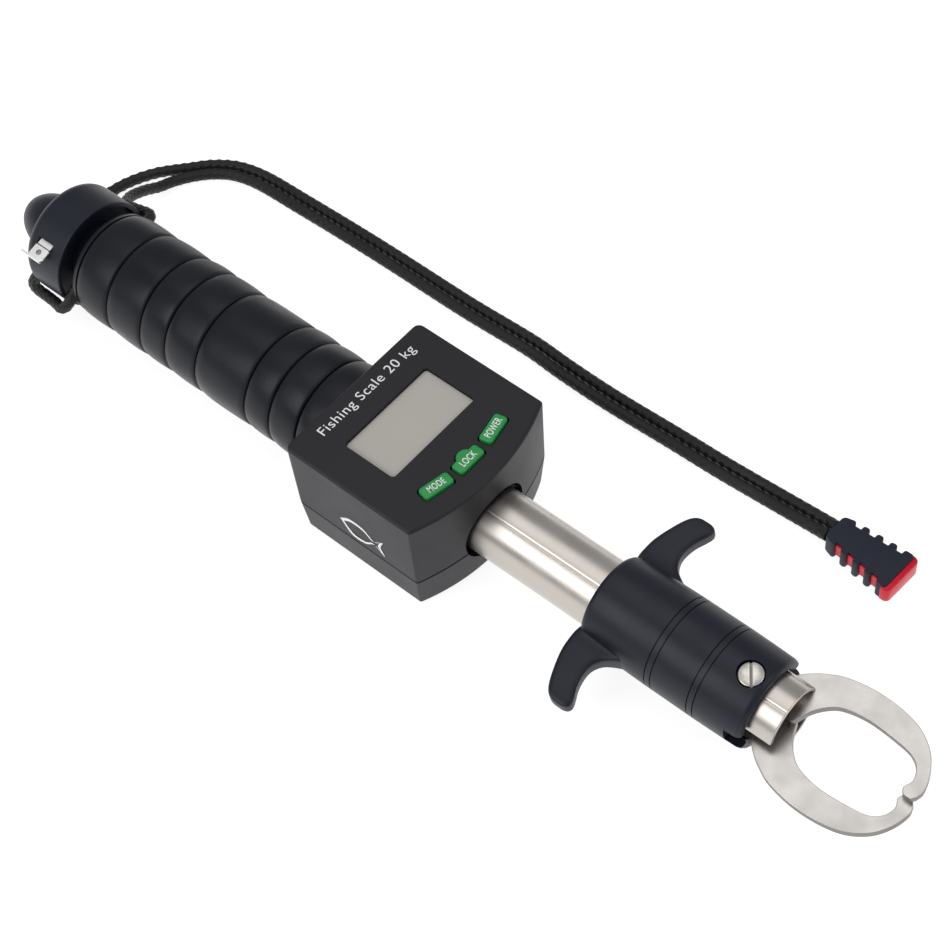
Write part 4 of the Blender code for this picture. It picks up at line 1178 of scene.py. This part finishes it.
@dataclass(frozen=True)
class Jaw:
    """One stamped steel jaw."""

    body: Body
    side: int
    low: float
    pivot: float = 100.1
    thickness: float = 2.2
    rim: float = 0.22
    root: float = 4.3
    eye: float = 2.1
    outer: tuple[Point2, ...] = (
        (3.4, 5.6), (5.6, 8.9), (8.4, 11.5), (11.2, 13.3), (15.2, 15.1), (22.0, 16.3), (29.2, 16.1),
        (35.4, 14.6), (40.2, 11.4), (43.1, 7.2), (44.4, 2.9), (44.0, 0.6),
    )
    inner: tuple[Point2, ...] = (
        (41.0, -0.3), (40.2, 1.1), (41.0, 3.4), (39.9, 6.3), (37.2, 8.3), (32.6, 9.1), (25.2, 9.5),
        (19.4, 8.5), (16.3, 6.7), (13.6, 3.5), (11.5, -1.0), (9.6, 0.2), (7.8, 1.0), (6.2, 1.5), (4.9, 1.7),
    )

    def build(self) -> None:
        """Builds the jaw, its rims eased by tumbling."""
        points = [*smooth(self.outer, 6), *smooth([(43.2, -0.5), *self.inner], 6)]
        points += [Vector(p) for p in arc((0, 0), self.root, 382, 75, 40)]
        outline = [(self.pivot + p.x, p.y * self.side) for p in points]
        shape = Shape().prism(outline, self.low, self.low + self.thickness, self.rim)
        jaw = shape.place(HEAD).to_object(self.body.value + "_plate", 30)
        eye = Shape().rod(self.eye, (self.pivot, 0, -5), (self.pivot, 0, 5)).place(HEAD)
        mount(carve(jaw, eye), self.body, Surface.JAW, self.body.value)
        # The side walls take the darker steel: partly the sheared edges' duller finish, partly painted shade
        # where the walls turn from the light.
        jaw.data.materials.append(Surface.SHEARED.material())
        upright = HEAD.to_3x3() @ Vector((0, 0, 1))
        for face in jaw.data.polygons:
            face.material_index = int(abs(face.normal.dot(upright)) < 0.6)


@dataclass(frozen=True)
class ReturnSpring:
    """The spring behind the plunger, which closes up on the real tool as the trigger is pulled; here it is one
    fixed coil.
    """

    start: float = 63.8
    end: float = 79.2
    radius: float = 5.6
    wire: float = 0.5
    turns: int = 6
    travel: float = 9.0

    def build(self) -> None:
        """Builds the coil as a swept ring of wire."""
        steps = self.turns * 40
        rings = []
        for index in range(steps + 1):
            share = index / steps
            angle = 2 * math.pi * self.turns * share
            out = Vector((0, math.cos(angle), math.sin(angle)))
            centre = out * self.radius + Vector((self.start + (self.end - self.start) * share, 0, 0))
            ring = []
            for side in range(10):
                turn = 2 * math.pi * side / 10
                ring.append(centre + (out * math.cos(turn) + Vector((1, 0, 0)) * math.sin(turn)) * self.wire)
            rings.append(ring)
        coil = Shape().loft(rings).place(HEAD).to_object("spring_coil", 60)
        mount(coil, Body.HEAD, Surface.STEEL, "return_spring")
        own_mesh(coil)


# ---------- lanyard


@dataclass(frozen=True)
class Lanyard:
    """Two strands of braided cord from the neck to a moulded toggle."""

    diameter: float = 3.2
    spacing: float = 3.5
    rest: float = 1.7
    toggle_at: Point2 = (84.2, 54.9)
    toggle_turn: float = math.radians(-3.5)
    half_height: float = 3.0
    plait: float = 2.5
    step: float = 0.34
    sides: int = 30
    pair: tuple[Point2, ...] = (
        (-134.6, 38.6), (-130.9, 44.3), (-126.4, 48.9), (-120.5, 52.4), (-111.9, 54.2), (-97.3, 54.6),
        (-78.4, 54.9), (-60.8, 54.9), (-35.5, 54.6), (-13.8, 55.0), (-1.0, 54.3), (15.4, 53.9),
        (36.5, 54.3), (52.2, 54.5), (70.3, 56.2),
    )
    right: tuple[Point3, ...] = (
        (-116.1, 9.4, 15.9), (-116.1, 12.6, 16.0), (-116.1, 15.9, 16.2), (-117.9, 18.1, 15.8),
        (-121.6, 18.1, 14.9), (-125.8, 18.1, 13.6), (-129.6, 19.5, 11.8), (-132.2, 23.2, 9.3),
        (-133.2, 28.6, 6.2), (-133.2, 33.6, 3.3), (-132.6, 38.4, 1.8),
    )
    left: tuple[Point3, ...] = (
        (-116.1, -9.4, 15.9), (-116.1, -12.6, 13.9), (-116.1, -15.4, 11.4), (-117.9, -16.9, 9.4),
        (-121.4, -16.2, 8.5), (-125.4, -15.9, 8.2), (-129.6, -15.6, 7.8), (-133.6, -13.8, 6.2),
        (-136.8, -9.4, 3.8), (-139.2, -3.6, 2.1), (-142.0, 5.4, 1.7), (-144.4, 16.0, 1.7),
        (-143.8, 27.0, 1.7), (-139.6, 36.8, 1.7),
    )

    def toggle_frame(self) -> Matrix:
        """Finds the toggle's frame.

        Returns:
            A frame with x away from the cord.
        """
        place = Matrix.Translation((*self.toggle_at, self.half_height + 0.1))
        return place @ Matrix.Rotation(self.toggle_turn, 4, "Z")

    def route(self, lead: Sequence[Sequence[float]], side: int) -> list[Vector]:
        """Lays out one strand.

        Args:
            lead: Its own points, from the neck to the pair.
            side: 1 for the outer strand of the pair, -1 for the inner.

        Returns:
            The strand's points.
        """
        route = [Vector(p) for p in lead]
        for before, point, after in zip(self.pair, self.pair[1:], self.pair[2:]):
            heading = (Vector(after) - Vector(before)).normalized()
            offset = Vector((-heading.y, heading.x)) * side * self.spacing / 2
            route.append(Vector((point[0] + offset.x, point[1] + offset.y, self.rest)))
        frame = self.toggle_frame()
        route.append(frame @ Vector((-7.0, side * self.spacing / 2, -1.1)))
        route.append(frame @ Vector((-0.5, side * self.spacing / 2, 0.0)))
        return route

    def strand(self, name: str, lead: Sequence[Sequence[float]], side: int, node: str) -> None:
        """Builds one strand with its plaited surface.

        Args:
            name: The object's name.
            lead: The strand's own points.
            side: Which strand of the pair it is.
            node: The CAD node that it stands for.
        """
        fine = smooth(self.route(lead, side), 40)
        path = [fine[0]]
        for point in fine[1:]:
            if (point - path[-1]).length >= self.step:
                path.append(point)
        path[-1] = fine[-1]
        normal = Vector((0, 0, 1))
        travelled, rings = 0.0, []
        for index, point in enumerate(path):
            ahead = path[min(index + 1, len(path) - 1)] - path[max(index - 1, 0)]
            ahead.normalize()
            normal = (normal - ahead * normal.dot(ahead)).normalized()
            across = ahead.cross(normal)
            travelled += (point - path[index - 1]).length if index else 0.0
            phase = 2 * math.pi * travelled / self.plait
            ring = []
            for step in range(self.sides):
                angle = 2 * math.pi * step / self.sides
                weave = math.cos(5 * angle) * math.cos(phase)
                reach = self.diameter / 2 * (0.96 + 0.085 * weave)
                ring.append(point + (normal * math.cos(angle) + across * math.sin(angle)) * reach)
            rings.append(ring)
        strand = mount(Shape().loft(rings).to_object(name, 80), Body.HANDLE, Surface.CORD, node)
        length = sum((b - a).length for a, b in zip(path, path[1:]))
        self.declare(path)

    def declare(self, path: Sequence[Vector]) -> None:
        """Turns a strand's centreline into points in metres, which are not kept.

        Args:
            path: Its centreline, in millimetres.
        """
        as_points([p * MM for p in path[::3]] + [path[-1] * MM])

    def build(self) -> None:
        """Builds the toggle and both strands."""
        self.build_toggle()
        self.strand("strand_right", self.right, -1, "lanyard_strand_right")
        self.strand("strand_left", self.left, 1, "lanyard_strand_left")

    def build_toggle(self) -> None:
        """Builds the toggle: ribs down both sides of a soft shell, over a red insert with a broad end."""
        frame, half = self.toggle_frame(), self.half_height
        narrow, slope, length = 4.3, 0.09, 20.1
        edge: list[Point3] = [(0.0, narrow - 0.6, 1.4)]
        for index in range(4):
            x = 3.6 + 3.9 * index
            wide = narrow + slope * x
            edge += [(x, wide + 0.1, 0.75), (x, wide - 1.35, 0.3)]
            edge += [(x + 1.9, wide - 1.25, 0.3), (x + 1.9, wide + 0.2, 0.75)]
        edge += [(length, narrow + slope * length - 0.1, 0.9)]
        mirrored = [(x, -y, r) for x, y, r in edge]
        outline = filleted([*mirrored, *reversed(edge)], 6)
        body = Shape().prism(outline, -half, half, 0.5).place(frame)
        mount(body.to_object("toggle_body", 50), Body.HANDLE, Surface.TOGGLE, "toggle_shell")
        core = [(3.2, -3.75), (17.8, -5.0), (17.8, 5.0), (3.2, 3.75)]
        insert = Shape().prism(core, -half + 1.2, half - 1.0)
        mount(insert.place(frame).to_object("toggle_insert"), Body.HANDLE, Surface.RED, "toggle_core")
        wide = narrow + slope * length + 0.15
        cap = filleted([(18.9, -wide, 0.4), (21.5, -wide, 1.5), (21.5, wide, 1.5), (18.9, wide, 0.4)])
        end = Shape().prism(cap, -half + 0.1, half - 0.7, 0.45).place(frame).to_object("toggle_end", 50)
        mount(end, Body.HANDLE, Surface.RED)


# ---------- the rest


class Insides:
    """Finishes for the pieces that are shown as they were packed."""

    FINISHES: dict[Surface, tuple[str, ...]] = {
        Surface.ALUMINIUM: ("handle_tube", "load_cell", "anchor_plug"),
        Surface.CASE: ("case_cover",),
        Surface.HOUSING: ("battery_cap",),
        Surface.STEEL: (
            *(f"housing_screw_{number}" for number in range(1, 5)), "anchor_bolt", "swivel_bolt",
            "swivel_nut", "tape_spring", "plug_screw_left", "plug_screw_right", "seat_pin", "spreader_pin",
        ),
        Surface.NICKEL: ("battery_cell", "pivot_nut", "thrust_washer"),
        Surface.TUBE: ("tube_plug", "spring_seat", "plunger"),
        Surface.DISPLAY: ("lcd_module",),
        Surface.BOARD: ("circuit_board",),
        Surface.INNER: ("unit_switch", "hold_switch", "power_switch", "battery_holder", "tape_spool"),
        Surface.TAPE: ("tape_coil",),
    }

    def dress(self, nodes: dict[str, bpy.types.Object]) -> None:
        """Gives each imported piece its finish.

        Args:
            nodes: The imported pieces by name.
        """
        for surface, names in self.FINISHES.items():
            for name in names:
                surface.on(nodes[name])


@dataclass(frozen=True)
class Studio:
    """A white sweep, soft lights and the camera."""

    camera_at: Point3 = (237.1, -208.9, 460.2)
    look_at: Point3 = (9.5, 7.1, 15.9)
    roll: float = math.radians(7.0)
    lens: float = 83.3
    floor: float = 3000.0

    def build(self) -> None:
        """Builds the floor, world, lights and camera."""
        self.build_floor()
        self.build_world()
        self.light("key", (-250, -700, 620), (0, 0, 0), 620, 3.0)
        self.light("fill", (650, 300, 700), (40, 0, 0), 500, 1.2)
        self.light("top", (-200, 150, 950), (0, 0, 0), 700, 1.6)
        self.build_camera()

    def build_floor(self) -> None:
        """Lays a lit white floor."""
        floor = Shape().block((-self.floor, -self.floor, -5), (self.floor, self.floor, 0)).to_object("floor")
        material = bpy.data.materials.new("paper")
        material.use_nodes = True
        settings = {
            "Base Color": (0.35, 0.35, 0.35, 1),
            "Roughness": 0.9,
            "Specular IOR Level": 0.1,
            "Emission Color": (1, 1, 1, 1),
            "Emission Strength": 0.86,
        }
        for socket, value in settings.items():
            material.node_tree.nodes["Principled BSDF"].inputs[socket].default_value = value
        floor.data.materials.append(material)

    def build_world(self) -> None:
        """Fills the room with even grey light."""
        world = bpy.data.worlds.new("room")
        world.use_nodes = True
        background = world.node_tree.nodes["Background"]
        background.inputs["Color"].default_value = (0.5, 0.5, 0.51, 1)
        background.inputs["Strength"].default_value = 0.8
        bpy.context.scene.world = world

    def light(self, name: str, place: Point3, aim: Point3, size: float, power: float) -> None:
        """Hangs a square soft box.

        Args:
            name: The light's name.
            place: Where it hangs.
            aim: The point that it faces.
            size: Its side.
            power: Its power in watts.
        """
        lamp = bpy.data.lights.new(name, "AREA")
        lamp.shape = "SQUARE"
        lamp.size = size * MM
        lamp.energy = power
        box = link(name, lamp)
        box.location = Vector(place) * MM
        box.rotation_euler = (Vector(aim) - Vector(place)).to_track_quat("-Z", "Y").to_euler()

    def build_camera(self) -> None:
        """Sets up the camera, rolled a little from level."""
        lens = bpy.data.cameras.new("camera")
        lens.sensor_width = 36.0
        lens.lens = self.lens
        lens.clip_start = 0.01
        lens.clip_end = 20.0
        camera = link("camera", lens)
        forward = (Vector(self.look_at) - Vector(self.camera_at)).normalized()
        level = forward.cross(Vector((0, 0, 1))).normalized()
        upright = level.cross(forward)
        right = level * math.cos(self.roll) - upright * math.sin(self.roll)
        up = right.cross(forward)
        turn = Matrix((right, up, -forward)).transposed().to_4x4()
        camera.matrix_world = Matrix.Translation(Vector(self.camera_at) * MM) @ turn
        bpy.context.scene.camera = camera


def main() -> None:
    """Builds the whole picture."""
    logging.basicConfig(level=logging.INFO)
    bpy.context.scene.view_settings.view_transform = "Standard"
    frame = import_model()
    tape = TapeFrame()
    builders: list[tuple[str, Callable[[], None]]] = [
        ("grip", Grip().build),
        ("tail", lambda: Tail().build(tape)),
        ("tape", lambda: Tape().build(tape)),
        ("housing", Housing().build),
        ("tube", Tube().build),
        ("trigger", Trigger().build),
        ("right jaw", Jaw(Body.RIGHT_JAW, 1, 0.15).build),
        ("left jaw", Jaw(Body.LEFT_JAW, -1, -2.35).build),
        ("spring", ReturnSpring().build),
        ("lanyard", Lanyard().build),
        ("insides", lambda: Insides().dress(frame["nodes"])),
        ("studio", Studio().build),
    ]
    for name, build in builders:
        LOG.info("building %s", name)
        build()


if __name__ == "__main__":
    main()
